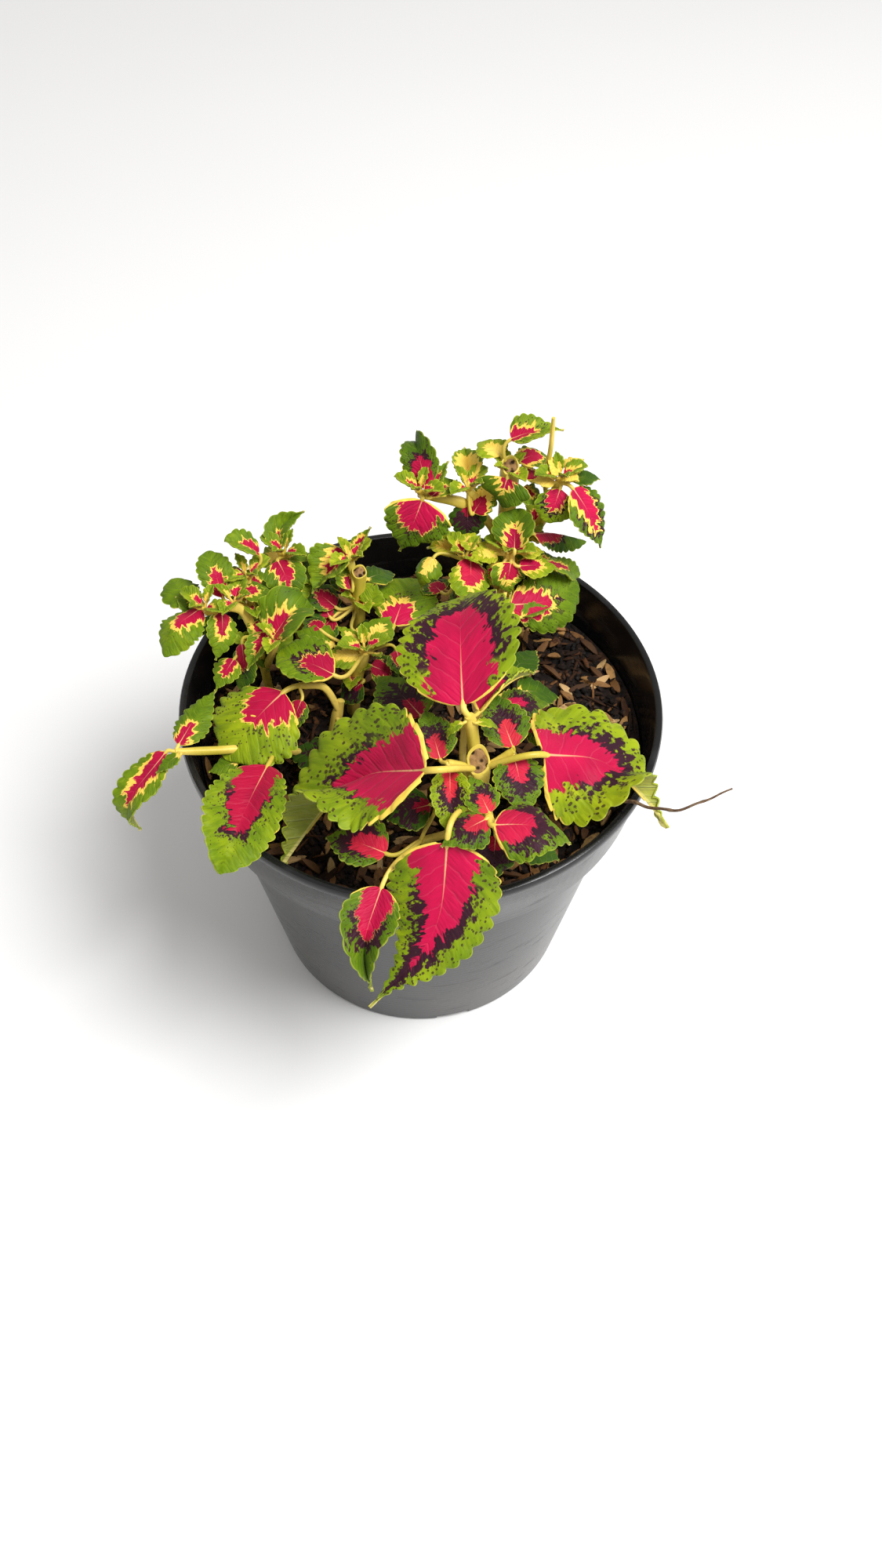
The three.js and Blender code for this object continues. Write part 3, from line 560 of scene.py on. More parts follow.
# %% Grow one blade
def grow_blade(base, tip, width, own, seed):
    """One blade, with its spine and the radius of its stalk."""
    length = float(np.linalg.norm(np.subtract(tip, base)))
    pitch = TOOTH_PITCH + TOOTH_PITCH_SHARE * width
    teeth = max(4, round(1.1 * length / pitch))
    rows = int(np.clip(teeth * ROWS_PER_TOOTH, *ROWS))
    columns = int(np.clip(round(width * COLUMNS_PER_MM), *COLUMNS)) // 2 * 2
    bpy.ops.mesh.primitive_grid_add(x_subdivisions=rows, y_subdivisions=columns, size=2)
    piece = fresh("blade")
    grid = corners(piece)
    t = BLADE_START + (grid[:, 0] + 1) / 2 * BLADE_REACH
    side, share = np.sign(grid[:, 1]), np.abs(grid[:, 1]) ** 0.8
    spine = spine_of(base, tip, own)
    at, _, left, up = along_spine(spine, t)

    outline = half_width(t, own["taper"])
    reach = width / 2 * outline
    uneven = 1 + 0.25 * np.sin(t * 17 + seed) + 0.15 * np.sin(t * 31 + side * 2 + seed)
    tooth = teeth_along(t, side, teeth, seed)
    deepest = np.minimum(TOOTH_CUT * pitch**2 * uneven, TOOTH_CUT_MOST * width / 2)
    cut = deepest * (1 - tooth) * smooth((t - 0.04) / 0.18)
    stalk = STALK_RADIUS + STALK_SHARE * width
    edge = np.maximum(reach - np.minimum(cut, 0.6 * reach) * share**4, stalk * 0.9 * (1 - smooth(t / 0.08)))
    off = edge * share

    raised = own["fold"] + own["tip_fold"] * smooth((t - 0.2) / 0.6)
    curl = own["curl"] * outline * share
    lean = np.radians(raised - curl / 2)[:, None]
    slope = np.radians(raised - curl)[:, None]
    side_, off_ = side[:, None], off[:, None]
    places = at + left * side_ * off_ * np.cos(lean) + up * off_ * np.sin(lean)
    normal = up * np.cos(slope) - left * side_ * np.sin(slope)
    forward = length * t - off * VEIN_LEAN
    veins = forward / (length / (4 + length / 12))
    skin = relief_of_skin(t, side, share, off, veins, width, tooth, pitch, teeth, seed)
    set_corners(piece, (places + normal * skin[:, None]) * MM)

    # what the finishes read: zones, two kinds of grain, veins, tone, and the widths of the band and the halo
    hem = 0.45 * own["gold"] * width * (1 - t / 0.28) - (edge - off)
    outer = smooth((t - 0.12) / 0.3) * (1 + 0.9 * smooth((t - 0.45) / 0.2) * (1 - smooth(share / 0.35)))
    grain = 1.0 + 0.1 * width
    shift = seed * 37.0
    note(piece, "zone", heart_edge(length * t, off, own, length, width), hem, edge - off)
    note(piece, "grain", forward / grain, 0.4 * side * off / grain, shift)
    note(piece, "spot", length * t / grain, side * off / grain, shift)
    note(piece, "rib", veins, off / grain, t)
    note(piece, "tone", own["lime"] + 0.05 * math.sin(seed * 2.3), own["hue"], own["speck"])
    note(piece, "trim", own["band"] * outer, own["halo"])
    return piece, spine, stalk


# %% [markdown]
# ## Stems and stalks
#
# A stem is a square juicy rod with soft corners, thicker where leaves spring. A leaf's stalk is a thin one
# that runs on below the blade as its midrib. Both start as one cylinder, cut into rings in edit mode, whose
# rings are then strung along a smooth path.

# %% Rod blanks
def rod_blank(name, sides, rings):
    """An upright rod of radius 1 and height 2, cut into rings."""
    bpy.ops.mesh.primitive_cylinder_add(vertices=sides, radius=1, depth=2, end_fill_type="NGON")
    piece = fresh(name)
    heights = corners(piece)[:, 2]
    # edges are picked in edge mode, or the ends' edges would be picked with their corners and cut too
    bpy.context.tool_settings.mesh_select_mode = (False, True, False)
    for part in (*piece.data.vertices, *piece.data.polygons):
        part.select = False
    for edge in piece.data.edges:
        a, b = edge.vertices
        edge.select = bool(abs(heights[a] - heights[b]) > 1)
    bpy.ops.object.mode_set(mode="EDIT")
    bpy.ops.mesh.subdivide(number_cuts=rings - 1)
    bpy.ops.mesh.select_mode(type="FACE")
    bpy.ops.mesh.select_all(action="DESELECT")
    bpy.ops.object.mode_set(mode="OBJECT")
    piece.data.materials.append(sap.material)
    return piece


# %% A cut end
CUT_RIM, CUT_STEP, CUT_DEPTH, PITH_RING, PITH_CORE, PITH_RISE = 0.16, 0.05, -0.015, 0.3, 0.25, 0.006


def cut_end(piece):
    """Give the upper end a rim of skin and a sunk face of dried pith."""
    only(piece)
    for face in piece.data.polygons:
        face.select = face.normal.z > 0.9
    bpy.ops.object.mode_set(mode="EDIT")
    bpy.ops.mesh.inset(thickness=CUT_RIM)
    bpy.ops.mesh.inset(thickness=CUT_STEP, depth=CUT_DEPTH)
    piece.data.materials.append(dry.material)
    piece.active_material_index = 1
    bpy.ops.object.material_slot_assign()
    bpy.ops.mesh.inset(thickness=PITH_RING)
    bpy.ops.mesh.inset(thickness=PITH_CORE, depth=PITH_RISE)
    bpy.ops.object.mode_set(mode="OBJECT")


# %% A smooth path
STEPS_BETWEEN_POINTS = 24


def smooth_path(points, count):
    """A centripetal curve through the points, as evenly spread points, and its length."""
    p = np.asarray(points, float)
    p = np.vstack([2 * p[0] - p[1], p, 2 * p[-1] - p[-2]])
    step = np.maximum(np.linalg.norm(np.diff(p, axis=0), axis=1), 1e-6) ** 0.5
    u = np.linspace(0, 1, STEPS_BETWEEN_POINTS, endpoint=False)[:, None]
    h1, h2, h3, h4 = 2 * u**3 - 3 * u**2 + 1, u**3 - 2 * u**2 + u, -2 * u**3 + 3 * u**2, u**3 - u**2
    line = []
    for i in range(1, len(p) - 2):
        d0, d1, d2 = step[i - 1 : i + 2]
        m1 = (p[i] - p[i - 1]) / d0 - (p[i + 1] - p[i - 1]) / (d0 + d1) + (p[i + 1] - p[i]) / d1
        m2 = (p[i + 1] - p[i]) / d1 - (p[i + 2] - p[i]) / (d1 + d2) + (p[i + 2] - p[i + 1]) / d2
        line.append(h1 * p[i] + h2 * m1 * d1 + h3 * p[i + 1] + h4 * m2 * d1)
    line = np.vstack([*line, p[-2:-1]])
    run = np.concatenate([[0], np.cumsum(np.linalg.norm(np.diff(line, axis=0), axis=1))])
    even = np.linspace(0, run[-1], count)
    return np.stack([np.interp(even, run, line[:, k]) for k in range(3)], 1), run[-1]


# %% A rod on a path
CUT_FACES = (0, -1, 0)


def string_along(piece, line, radii, square=0.0, slant=0.0):
    """Place a rod's rings along a line of points, with these radii, and slant its upper end."""
    ahead = np.gradient(line, axis=0)
    ahead /= np.linalg.norm(ahead, axis=1)[:, None]
    left = [unit(np.cross(ahead[0], [0.3, 1, 0.1] if abs(ahead[0][1]) < 0.9 else [1, 0.2, 0]))]
    for way in ahead[1:]:
        left.append(unit(left[-1] - way * np.dot(left[-1], way)))
    left = np.array(left)
    up = np.cross(ahead, left)
    rod = corners(piece)
    angle = np.arctan2(rod[:, 1], rod[:, 0])
    height = (rod[:, 2] + 1) / 2
    if slant:
        facing = unit(np.array([np.dot(CUT_FACES, left[-1]), np.dot(CUT_FACES, up[-1])]))
        lowered = (1 + (rod[:, 0] * facing[0] + rod[:, 1] * facing[1])) / 2
        height = height - slant * lowered * smooth((height - 0.55) / 0.45)
    at = np.clip(height, 0, 1) * (len(line) - 1)
    i = np.minimum(at.astype(int), len(line) - 2)
    share = (at - i)[:, None]
    radius = between(np.asarray(radii, float)[:, None], i, share)[:, 0]
    reach = radius * np.hypot(rod[:, 0], rod[:, 1]) * (1 + square * np.cos(4 * angle))
    side, rise = (reach * np.cos(angle))[:, None], (reach * np.sin(angle))[:, None]
    middle, left, up = (between(way, i, share) for way in (line, left, up))
    set_corners(piece, (middle + left * side + up * rise) * MM)


# %% Grow one stem
STEM_POINTS, STEM_SQUARE, JOINT_SWELL, STEM_NARROWS = 41, 0.045, 0.14, 0.25


def grow_stem(radius, path, joints, blank, cut):
    """A stem, thicker at its joints, that ends in a cut with this slant or narrows towards its tip."""
    line, length = smooth_path(path, STEM_POINTS)
    swell = np.zeros(STEM_POINTS)
    for place in joints:
        gap = np.linalg.norm(line - np.asarray(place, float), axis=1)
        if gap.min() < 2 * radius + 3:
            away = (np.arange(STEM_POINTS) - gap.argmin()) * length / STEM_POINTS / (radius * 1.3)
            swell = np.maximum(swell, np.exp(-(away**2)))
    tip = 1.0 if cut else 1 - STEM_NARROWS * smooth((np.linspace(0, 1, STEM_POINTS) - 0.85) / 0.15)
    piece = own_copy(blank, "stem")
    radii = radius * (1 + JOINT_SWELL * swell) * tip
    string_along(piece, line, radii, square=STEM_SQUARE, slant=cut / length)
    return piece


# %% Grow one stalk
STALK_POINTS, STALK_RUNS_ON, STALK_END = 20, 0.8, 0.25


def grow_stalk(place, spine, stalk, blank):
    """A stalk from the stem to the blade, which runs on below it as the midrib."""
    points, ahead, _, up = spine
    start, end = np.asarray(place, float), points[0]
    pull = 0.4 * np.linalg.norm(end - start)
    a, b = start * 0.7 + end * 0.3 + up[0] * pull * 0.2, end - ahead[0] * pull
    u = np.linspace(0, 1, STALK_POINTS, endpoint=False)[:, None]
    bezier = (1 - u) ** 3 * start + 3 * (1 - u) ** 2 * u * a + 3 * (1 - u) * u**2 * b + u**3 * end
    on = np.linspace(0, 1, STALK_POINTS + 1)
    run = np.linspace(0, int(SPINE_STEPS * STALK_RUNS_ON), STALK_POINTS + 1).astype(int)
    thinner = stalk * np.linspace(1, STALK_END, STALK_POINTS + 1)
    sunk = ((thinner + 0.35) * smooth(on / 0.1))[:, None]
    piece = own_copy(blank, "stalk")
    string_along(piece, np.vstack([bezier, points[run] - up[run] * sunk]),
                 np.concatenate([np.full(STALK_POINTS, stalk), thinner]))
    return piece


# %% Blanks for the rods
STEM_SIDES, STALK_SIDES, STALK_RINGS = 32, 10, 28
stem_blank = rod_blank("stem blank", STEM_SIDES, STEM_POINTS - 1)
cut_blank = rod_blank("cut stem blank", STEM_SIDES, STEM_POINTS - 1)
cut_end(cut_blank)
stalk_blank = rod_blank("stalk blank", STALK_SIDES, STALK_RINGS)
print("faces of a stem and of a stalk:", len(stem_blank.data.polygons), len(stalk_blank.data.polygons))

# %% [markdown]
# ## Where everything grows
#
# Each plant is written down as a grower would draw it. A stem is its radius and its path, which starts
# inside the compost, and a cut one says how far its end slants. A tuft is a place on a stem and the leaves
# that grow there. A leaf is its base, tip, width, droop and kind of colouring, and then how else it bends,
# in degrees:
#
# - droop arches it tip down, `hook` only in the outer half, and `bend` turns it to the left on its way out
# - `fold` and `tip_fold` raise both halves beside the midrib, and `curl` rolls them down towards the edge
# - `roll` and `twist` turn it about its length, all along and only towards the tip
# - `taper` says how fast it narrows: `POINTED` and `ROUND` leaves differ from the usual ones
#
# A colour name from the kinds below, given its own value, overrides the kind.

# %% Kinds of leaf
# reach and spread: how far the heart goes along and across; blunt and full: how square it is at its tip and
# its sides, where 2 makes an ellipse and 1 a diamond; band: dark purple outside it and halo: yellow at its
# edge, both as shares of the width (a halo of 1 leaves no pink); gold: the yellow hem along the base; lime:
# dark green to yellow; hue: crimson to coral; speck: how large the purple specks are
FLAT_LEAF = {**dict.fromkeys(("hook", "bend", "fold", "tip_fold", "curl", "roll", "twist"), 0),
             "taper": USUAL_TAPER, "blunt": 2.4, "full": 2.2}
COLOURING = ("reach", "spread", "band", "halo", "gold", "lime", "hue", "speck")
KINDS = {
    "bold": (0.58, 0.46, 0.075, 0, 0.14, 0.5, 0.5, 1),
    "coral": (0.44, 0.34, 0.11, 0, 0.06, 0.42, 0.9, 0.8),
    "dusk": (0.3, 0.26, 0.16, 0, 0, 0.2, 0.2, 0.2),
    "halo": (0.58, 0.46, 0, 0.12, 0.12, 0.46, 0.35, 0.5),
    "ember": (0.56, 0.5, 0.04, 0.02, 0.08, 0.34, 0.2, 0.35),
    "young": (0.6, 0.44, 0, 1, 0.12, 0.56, 0.5, 0.1),
    "blush": (0.7, 0.66, 0, 0.13, 0.16, 0.62, 0.5, 0.4),
    "cream": (0.72, 0.75, 0, 0.22, 0.3, 0.46, 0.3, 0.1),
    "plain": (0.16, 0.2, 0, 1, 0.03, 0.46, 0.5, 0.3),
    # shade is a dull dark green for the low inner leaves: partly their own green, partly painted shade
    "shade": (0.1, 0.1, 0, 1, 0, 0.24, 0.5, 0.2),
}
PLANTS = []
print("kinds of leaf:", len(KINDS))


# %% Writing a plant down
def plant(node, name, bushy=False):
    """Start a plant that stands for a node of the frame. A bushy one has young leaves at its shoot tips."""
    PLANTS.append({"node": node, "name": name, "bushy": bushy, "stems": [], "tufts": []})


def full_leaf(base, tip, width, droop, kind, own):
    """A leaf with every value it has, its own ones over those of its kind."""
    return base, tip, width, {**FLAT_LEAF, "droop": droop, **dict(zip(COLOURING, KINDS[kind])), **own}


def stem(radius, *path, cut=0.0):
    PLANTS[-1]["stems"].append((radius, path, cut))


def tuft(*place):
    PLANTS[-1]["tufts"].append((place, []))


def leaf(base, tip, width, droop, kind, **own):
    PLANTS[-1]["tufts"][-1][1].append(full_leaf(base, tip, width, droop, kind, own))


def told():
    """Say what the last plant has."""
    last = PLANTS[-1]
    leaves = sum(len(leaves) for _, leaves in last["tufts"])
    print(f"{last['name']}: {len(last['stems'])} stems, {len(last['tufts'])} tufts, {leaves} leaves")


# %% Front plant
# A thick stem cut back above its shoots, with four big leaves and clusters of small ones.
plant("plant_front", "front_plant")
stem(3.4, (19, -53, 96), (18.5, -51, 130), (18, -49.5, 161), cut=7.0)
stem(2, (17.5, -45, 148), (16.3, -44.5, 162), (15, -43, 171))
stem(1.3, (18, -50, 152), (13, -51, 156), (8, -53, 160))
stem(1.3, (18, -50, 152), (24, -49, 156), (29, -48, 160))
stem(1.6, (19, -51, 138), (20, -62, 150), (21, -72, 157))
stem(1.3, (19, -52, 126), (8, -60, 131), (0, -66, 136))
stem(1.3, (19, -52, 128), (14, -38, 140), (14, -28, 146))
tuft(15, -43, 170)
leaf((13, -41, 173), (15, 12, 168), 42, 50, "bold", hook=20, bend=10, fold=10, roll=-20, reach=0.62,
     spread=0.5, band=0.08, gold=0.08, lime=0.58)
leaf((18, -39, 168), (37, -17, 162), 16, 50, "bold", fold=45, roll=-20, reach=0.5, spread=0.6, gold=0.3,
     lime=0.7)
leaf((13, -45, 170), (8, -47, 165), 4, 90, "plain", lime=0.6)
leaf((17, -45, 170), (24, -44, 165), 4, 90, "plain", lime=0.6)
tuft(18, -50, 153)
leaf((2, -62, 168), (-47, -66, 118), 46, 0, "bold", bend=60, fold=20, tip_fold=50, curl=20, twist=60,
     reach=0.56, spread=0.6, blunt=1.3, full=1.3, band=0.03, gold=0.2, lime=0.64)
leaf((38, -51, 162), (82, -54, 127), 46, 0, "bold", bend=-50, fold=-20, tip_fold=90, curl=20, roll=10,
     twist=-80, taper=POINTED, reach=0.56, blunt=1.6, full=1.4, gold=0.16, lime=0.62)
tuft(19, -52, 140)
leaf((8, -80, 156), (-16, -114, 114), 37, -20, "bold", bend=-40, curl=20, roll=-20, twist=20, taper=POINTED,
     reach=0.62, spread=0.66, blunt=1.0, full=1.0, band=0.08, lime=0.6)
tuft(8, -53, 160)
leaf((6, -51, 159), (1, -32, 161), 15, 20, "coral", fold=20)
leaf((9, -55, 159), (9, -75, 149), 14, 40, "coral", fold=25, lime=0.6)
tuft(29, -48, 160)
leaf((29, -46, 159), (22, -26, 163), 17, 20, "coral", fold=15)
leaf((29, -49, 159), (33, -68, 151), 17, 40, "coral", hue=0.7)
tuft(21, -72, 157)
leaf((22, -76, 159), (46, -79, 154), 25, 50, "coral", hook=20, curl=40, twist=-20, reach=0.48, spread=0.5,
     hue=0.62, gold=0.3, band=0.12)
leaf((20, -73, 158), (6, -82, 156), 16, 30, "coral", curl=30)
leaf((21, -70, 157), (15, -57, 159), 12, 20, "coral")
leaf((23, -75, 152), (22, -86, 143), 16, 40, "dusk")
leaf((31, -69, 142), (44, -74, 137), 15, 30, "shade")
tuft(0, -66, 136)
leaf((-11, -71, 136), (-31, -62, 132), 20, 40, "coral", fold=10, reach=0.56, spread=0.4, hue=0.75,
     lime=0.34, gold=0)
leaf((-12, -86, 140), (-15, -108, 113), 20, 0, "ember", hook=60, bend=30, fold=20, tip_fold=60,
     taper=POINTED, reach=0.42, band=0.1, halo=0.01, gold=0.05, hue=0.4, lime=0.4)
leaf((3, -59, 146), (-11, -61, 140), 17, 30, "dusk")
tuft(14, -28, 146)
leaf((0, -26, 150), (-15, -4, 145), 22, 30, "dusk", lime=0.35)
leaf((26, -23, 152), (43, -17, 146), 14, 30, "coral", reach=0.5, hue=0.5)
leaf((34, -25, 147), (47, -31, 141), 14, 30, "bold", gold=0.1)
leaf((33, -8, 142), (48, -3, 133), 15, 30, "shade")
leaf((30, -2, 143), (41, 17, 135), 13, 30, "shade")
told()

# %% Low plant at the left
# One branch hangs over the rim, and one leaf lies nearly flat below it.
plant("plant_left_low", "low_left_plant")
stem(1.7, (-35, -12, 96), (-31, -7, 120), (-28, -4, 132))
stem(1.3, (-29, -5, 129), (-34, -3, 138), (-42, -5, 141))
stem(1.4, (-34, -11, 108), (-52, -22, 128), (-69, -28, 134), (-82, -31, 137))
tuft(-42, -5, 141)
leaf((-47, -8, 141), (-66, -29, 130), 37, 40, "halo", curl=20, taper=ROUND, reach=0.5, halo=0.04, speck=0.9,
     lime=0.6)
leaf((-41, -9, 138), (-45, -18, 130), 9, 40, "ember")
tuft(-30, -6, 126)
leaf((-24, -23, 122), (-48, -16, 118), 21, 20, "dusk")
tuft(-50, -21, 126)
leaf((-51, -36, 136), (-63, -79, 136), 28, 30, "ember", fold=20, twist=-30, taper=ROUND, reach=0.66,
     spread=0.46, band=0.03, halo=0, gold=0, hue=0.25, lime=0.5, speck=0.6)
leaf((-62, -30, 130), (-72, -32, 127), 9, 20, "plain")
tuft(-82, -31, 137)
leaf((-81, -29, 138), (-70, -8, 142), 13, 20, "halo", curl=30, reach=0.42, spread=0.4)
leaf((-85, -31, 137), (-97, -42, 107), 15, 0, "halo", hook=70, tip_fold=40)
leaf((-80, -33, 138), (-88, -38, 134), 6, 30, "plain")
told()

# %% Plant at the left rear
# It leans out over the rim, with many small leaves on three branches.
plant("plant_left_rear", "rear_left_plant", bushy=True)
stem(1.6, (-54, 11, 96), (-57, 14, 135), (-63, 17, 156), (-74, 13, 158))
stem(1.2, (-57, 14, 132), (-60, 22, 150), (-60, 27, 160))
stem(1.2, (-56, 13, 128), (-52, 9, 142), (-50, 8, 148))
tuft(-64, 16, 158)
leaf((-68, 18, 160), (-74, 32, 168), 13, 0, "halo", hook=40, fold=20, curl=20, taper=ROUND)
leaf((-68, 12, 159), (-70, -1, 149), 12, 60, "halo", roll=-40, twist=20, hue=0.2)
leaf((-62, 21, 159), (-52, 25, 156), 12, 40, "halo")
tuft(-74, 13, 158)
leaf((-75, 13, 160), (-86, -5, 155), 17, 0, "halo", hook=60, fold=-20, taper=ROUND)
leaf((-76, 17, 160), (-86, 28, 159), 15, 20, "plain", bend=-40, curl=30, taper=ROUND)
leaf((-77, 12, 157), (-84, 18, 160), 8, 20, "plain", fold=30)
tuft(-60, 27, 159)
leaf((-56, 31, 168), (-67, 30, 175), 12, 50, "halo", fold=30, curl=20, taper=ROUND)
leaf((-62, 30, 160), (-72, 26, 162), 8, 30, "halo")
leaf((-57, 28, 155), (-65, 33, 157), 13, 30, "halo")
leaf((-64, 26, 158), (-71, 32, 162), 10, 20, "plain", lime=0.45)
tuft(-60, 22, 150)
leaf((-56, 30, 152), (-65, 28, 149), 11, 20, "cream", fold=20, hue=0.2)
leaf((-57, 27, 147), (-65, 24, 143), 11, 30, "halo", hue=0.2)
tuft(-57, 14, 138)
leaf((-53, 18, 142), (-45, 13, 137), 12, 30, "plain", lime=0.5)
leaf((-55, 21, 137), (-46, 19, 130), 12, 30, "plain")
leaf((-61, 21, 140), (-54, 10, 131), 13, 30, "ember")
leaf((-72, 17, 146), (-81, 20, 146), 10, 20, "plain", lime=0.3)
tuft(-50, 8, 148)
leaf((-51, 9, 150), (-37, 20, 153), 23, 0, "halo", hook=80, fold=30, twist=20, reach=0.52, spread=0.42,
     lime=0.44, hue=0.4)
leaf((-53, 10, 151), (-60, 0, 143), 11, 0, "halo", fold=40)
leaf((-62, 9, 147), (-63, -1, 134), 12, 0, "ember", bend=-20, roll=30, taper=ROUND)
leaf((-52, 11, 147), (-61, 18, 150), 12, 30, "cream", twist=30)
leaf((-65, 6, 142), (-71, -4, 137), 11, 20, "halo")
told()

# %% Small plant behind it
# One short stem with a tuft of leaves.
plant("plant_back_left", "back_left_plant", bushy=True)
stem(1.8, (-46, 45, 96), (-47, 45, 135), (-49, 43, 156))
tuft(-49, 43, 155)
leaf((-51, 43, 157), (-42, 58, 163), 12, 20, "halo", bend=-60, fold=40, twist=40, reach=0.42, spread=0.3,
     lime=0.5)
leaf((-48, 43, 155), (-38, 45, 152), 7, 50, "plain")
leaf((-46, 40, 153), (-35, 39, 146), 12, 40, "plain")
leaf((-51, 40, 156), (-46, 29, 146), 16, 60, "halo", hook=40, twist=30, hue=0.3)
leaf((-48, 39, 150), (-42, 28, 143), 13, 40, "halo")
leaf((-52, 40, 150), (-57, 33, 143), 8, 40, "plain")
leaf((-51, 47, 153), (-59, 44, 149), 12, 30, "young", lime=0.55)
told()

# %% Middle plant
# A pale stem cut back to a stump, with leaves on long stalks.
plant("plant_middle", "middle_plant", bushy=True)
stem(2.3, (-23, 34, 96), (-23, 34, 130), (-22, 35, 157), cut=2.0)
stem(1.4, (-23, 34, 152), (-25, 38, 156), (-26, 41, 160))
tuft(-25, 39, 156)
leaf((-27, 43, 158), (-39, 30, 150), 21, 0, "halo", fold=40, twist=20, hue=0.5)
leaf((-24, 41, 158), (-18, 47, 166), 8, 0, "cream", fold=50)
leaf((-25, 32, 150), (-29, 41, 153), 10, 0, "halo", fold=20, hue=0.45)
tuft(-23, 34, 140)
leaf((-20, 39, 148), (-10, 48, 142), 12, 40, "shade")
leaf((-26, 34, 146), (-29, 46, 147), 13, 0, "ember", fold=20)
leaf((-33, 30, 138), (-40, 43, 140), 14, 20, "dusk")
leaf((-31, 33, 140), (-44, 41, 144), 13, 30, "ember")
leaf((-32, 31, 137), (-40, 24, 129), 14, 30, "ember")
leaf((-19, 29, 145), (-16, 35, 150), 11, 20, "plain", lime=0.5)
leaf((-24, 27, 134), (-14, 26, 129), 14, 30, "shade")
told()

# %% Yellow plant
# Its young leaves are nearly all yellow.
plant("plant_yellow", "yellow_plant", bushy=True)
stem(2.4, (-25, 9, 96), (-24, 10, 125), (-20, 11, 141))
tuft(-20, 11, 140)
leaf((-22, 13, 142), (-30, 20, 144), 6, 40, "young")
leaf((-22, 9, 141), (-35, 8, 139), 13, 40, "young")
leaf((-18, 14, 142), (-11, 25, 144), 13, 30, "young")
leaf((-16, 8, 143), (-14, 3, 147), 4, 20, "young")
leaf((-10, 23, 141), (-3, 48, 140), 25, 30, "halo", taper=ROUND, reach=0.5, band=0.02, lime=0.5, hue=0.5)
leaf((-9, 16, 136), (-6, 8, 130), 10, 20, "ember")
leaf((-30, -2, 143), (-50, 4, 146), 25, 40, "ember", fold=10, roll=10, taper=ROUND, spread=0.46, band=0.05,
     lime=0.44, gold=0.2, hue=0.3)
leaf((-31, 16, 138), (-45, 21, 140), 15, 30, "plain")
leaf((-36, 22, 140), (-42, 28, 139), 10, 30, "ember")
tuft(-24, 10, 127)
leaf((-21, 5, 131), (-29, 1, 124), 13, 30, "dusk")
leaf((-18, 13, 131), (-7, 11, 125), 15, 30, "ember")
told()

# %% Tall plant at the right rear
# A thick cut stem, two side branches and a dry stalk.
plant("plant_rear_right", "rear_right_plant", bushy=True)
stem(3, (31, 58, 96), (30, 57, 140), (30, 55, 168), (30, 54, 190), cut=3.5)
stem(1.8, (30, 57, 145), (24, 56, 160), (16, 54, 170), (-1, 51, 178))
stem(1.5, (22, 55, 164), (19, 55, 172), (16, 54, 177))
stem(1.8, (30, 57, 142), (42, 54, 162), (47, 49, 186))
stem(0.8, (44, 52, 172), (42, 53, 184), (43, 52, 196), (43, 52, 210))
tuft(-1, 51, 177)
leaf((1, 51, 180), (-1, 75, 181), 14, 0, "ember", hook=70, bend=30, tip_fold=50, roll=-30, reach=0.4,
     halo=0, band=0.05, gold=0, speck=0.9, hue=0.4)
leaf((3, 52, 179), (9, 62, 183), 8, 0, "halo", fold=40, hue=0.3)
leaf((0, 48, 178), (-8, 43, 158), 26, 40, "ember", fold=20, roll=-60, taper=POINTED, reach=0.48, spread=0.6,
     band=0.02, gold=0.3, lime=0.44, speck=0.8, hue=0.5)
leaf((3, 49, 178), (12, 60, 176), 12, 30, "halo", fold=20)
tuft(16, 54, 176)
leaf((16, 56, 179), (15, 74, 179), 14, 20, "cream", fold=40, reach=0.66, spread=0.85, halo=0.5, lime=0.55,
     gold=0.4)
leaf((16, 53, 172), (16, 47, 158), 14, 30, "dusk")
leaf((19, 53, 170), (26, 62, 173), 12, 30, "blush")
leaf((18, 50, 170), (25, 56, 177), 12, 30, "cream", reach=0.8, spread=0.8, halo=0.3, hue=0.2)
tuft(30, 55, 182)
leaf((30, 58, 196), (48, 62, 197), 14, 50, "halo", fold=30, roll=10, taper=POINTED, lime=0.56, speck=1,
     reach=0.5)
leaf((27, 58, 189), (19, 67, 187), 13, 50, "young", lime=0.62)
leaf((33, 57, 187), (44, 63, 184), 12, 70, "cream")
leaf((34, 54, 184), (43, 58, 180), 11, 30, "cream")
leaf((34, 51, 180), (42, 48, 176), 11, 30, "halo")
leaf((29, 50, 186), (28, 48, 174), 20, 80, "halo", twist=30, taper=POINTED, reach=0.32, spread=0.32,
     halo=0.1, lime=0.42)
tuft(47, 49, 185)
leaf((49, 51, 188), (55, 54, 191), 9, 50, "young", reach=0.95, spread=1, lime=0.8)
leaf((47, 50, 188), (42, 53, 193), 8, 40, "young", reach=0.95, spread=1, lime=0.8)
leaf((51, 49, 186), (61, 52, 184), 9, 60, "plain", lime=0.3)
leaf((47, 47, 184), (43, 41, 174), 14, 50, "halo", roll=-30, taper=ROUND, reach=0.6, hue=0.5, halo=0.05,
     band=0.06, lime=0.5)
leaf((51, 45, 186), (62, 36, 167), 17, 40, "halo", fold=10, curl=20, reach=0.72, hue=0.5, halo=0.13,
     band=0.05, lime=0.44)
leaf((45, 48, 186), (37, 48, 186), 8, 60, "young", reach=1, spread=1, lime=0.8)
leaf((48, 49, 188), (53, 45, 189), 7, 60, "young", reach=1, spread=1, lime=0.8)
tuft(40, 55, 158)
leaf((39, 43, 167), (59, 51, 156), 13, 0, "ember", bend=-20, fold=-30, curl=30, taper=ROUND)
leaf((40, 45, 162), (34, 55, 160), 12, 30, "plain")
told()

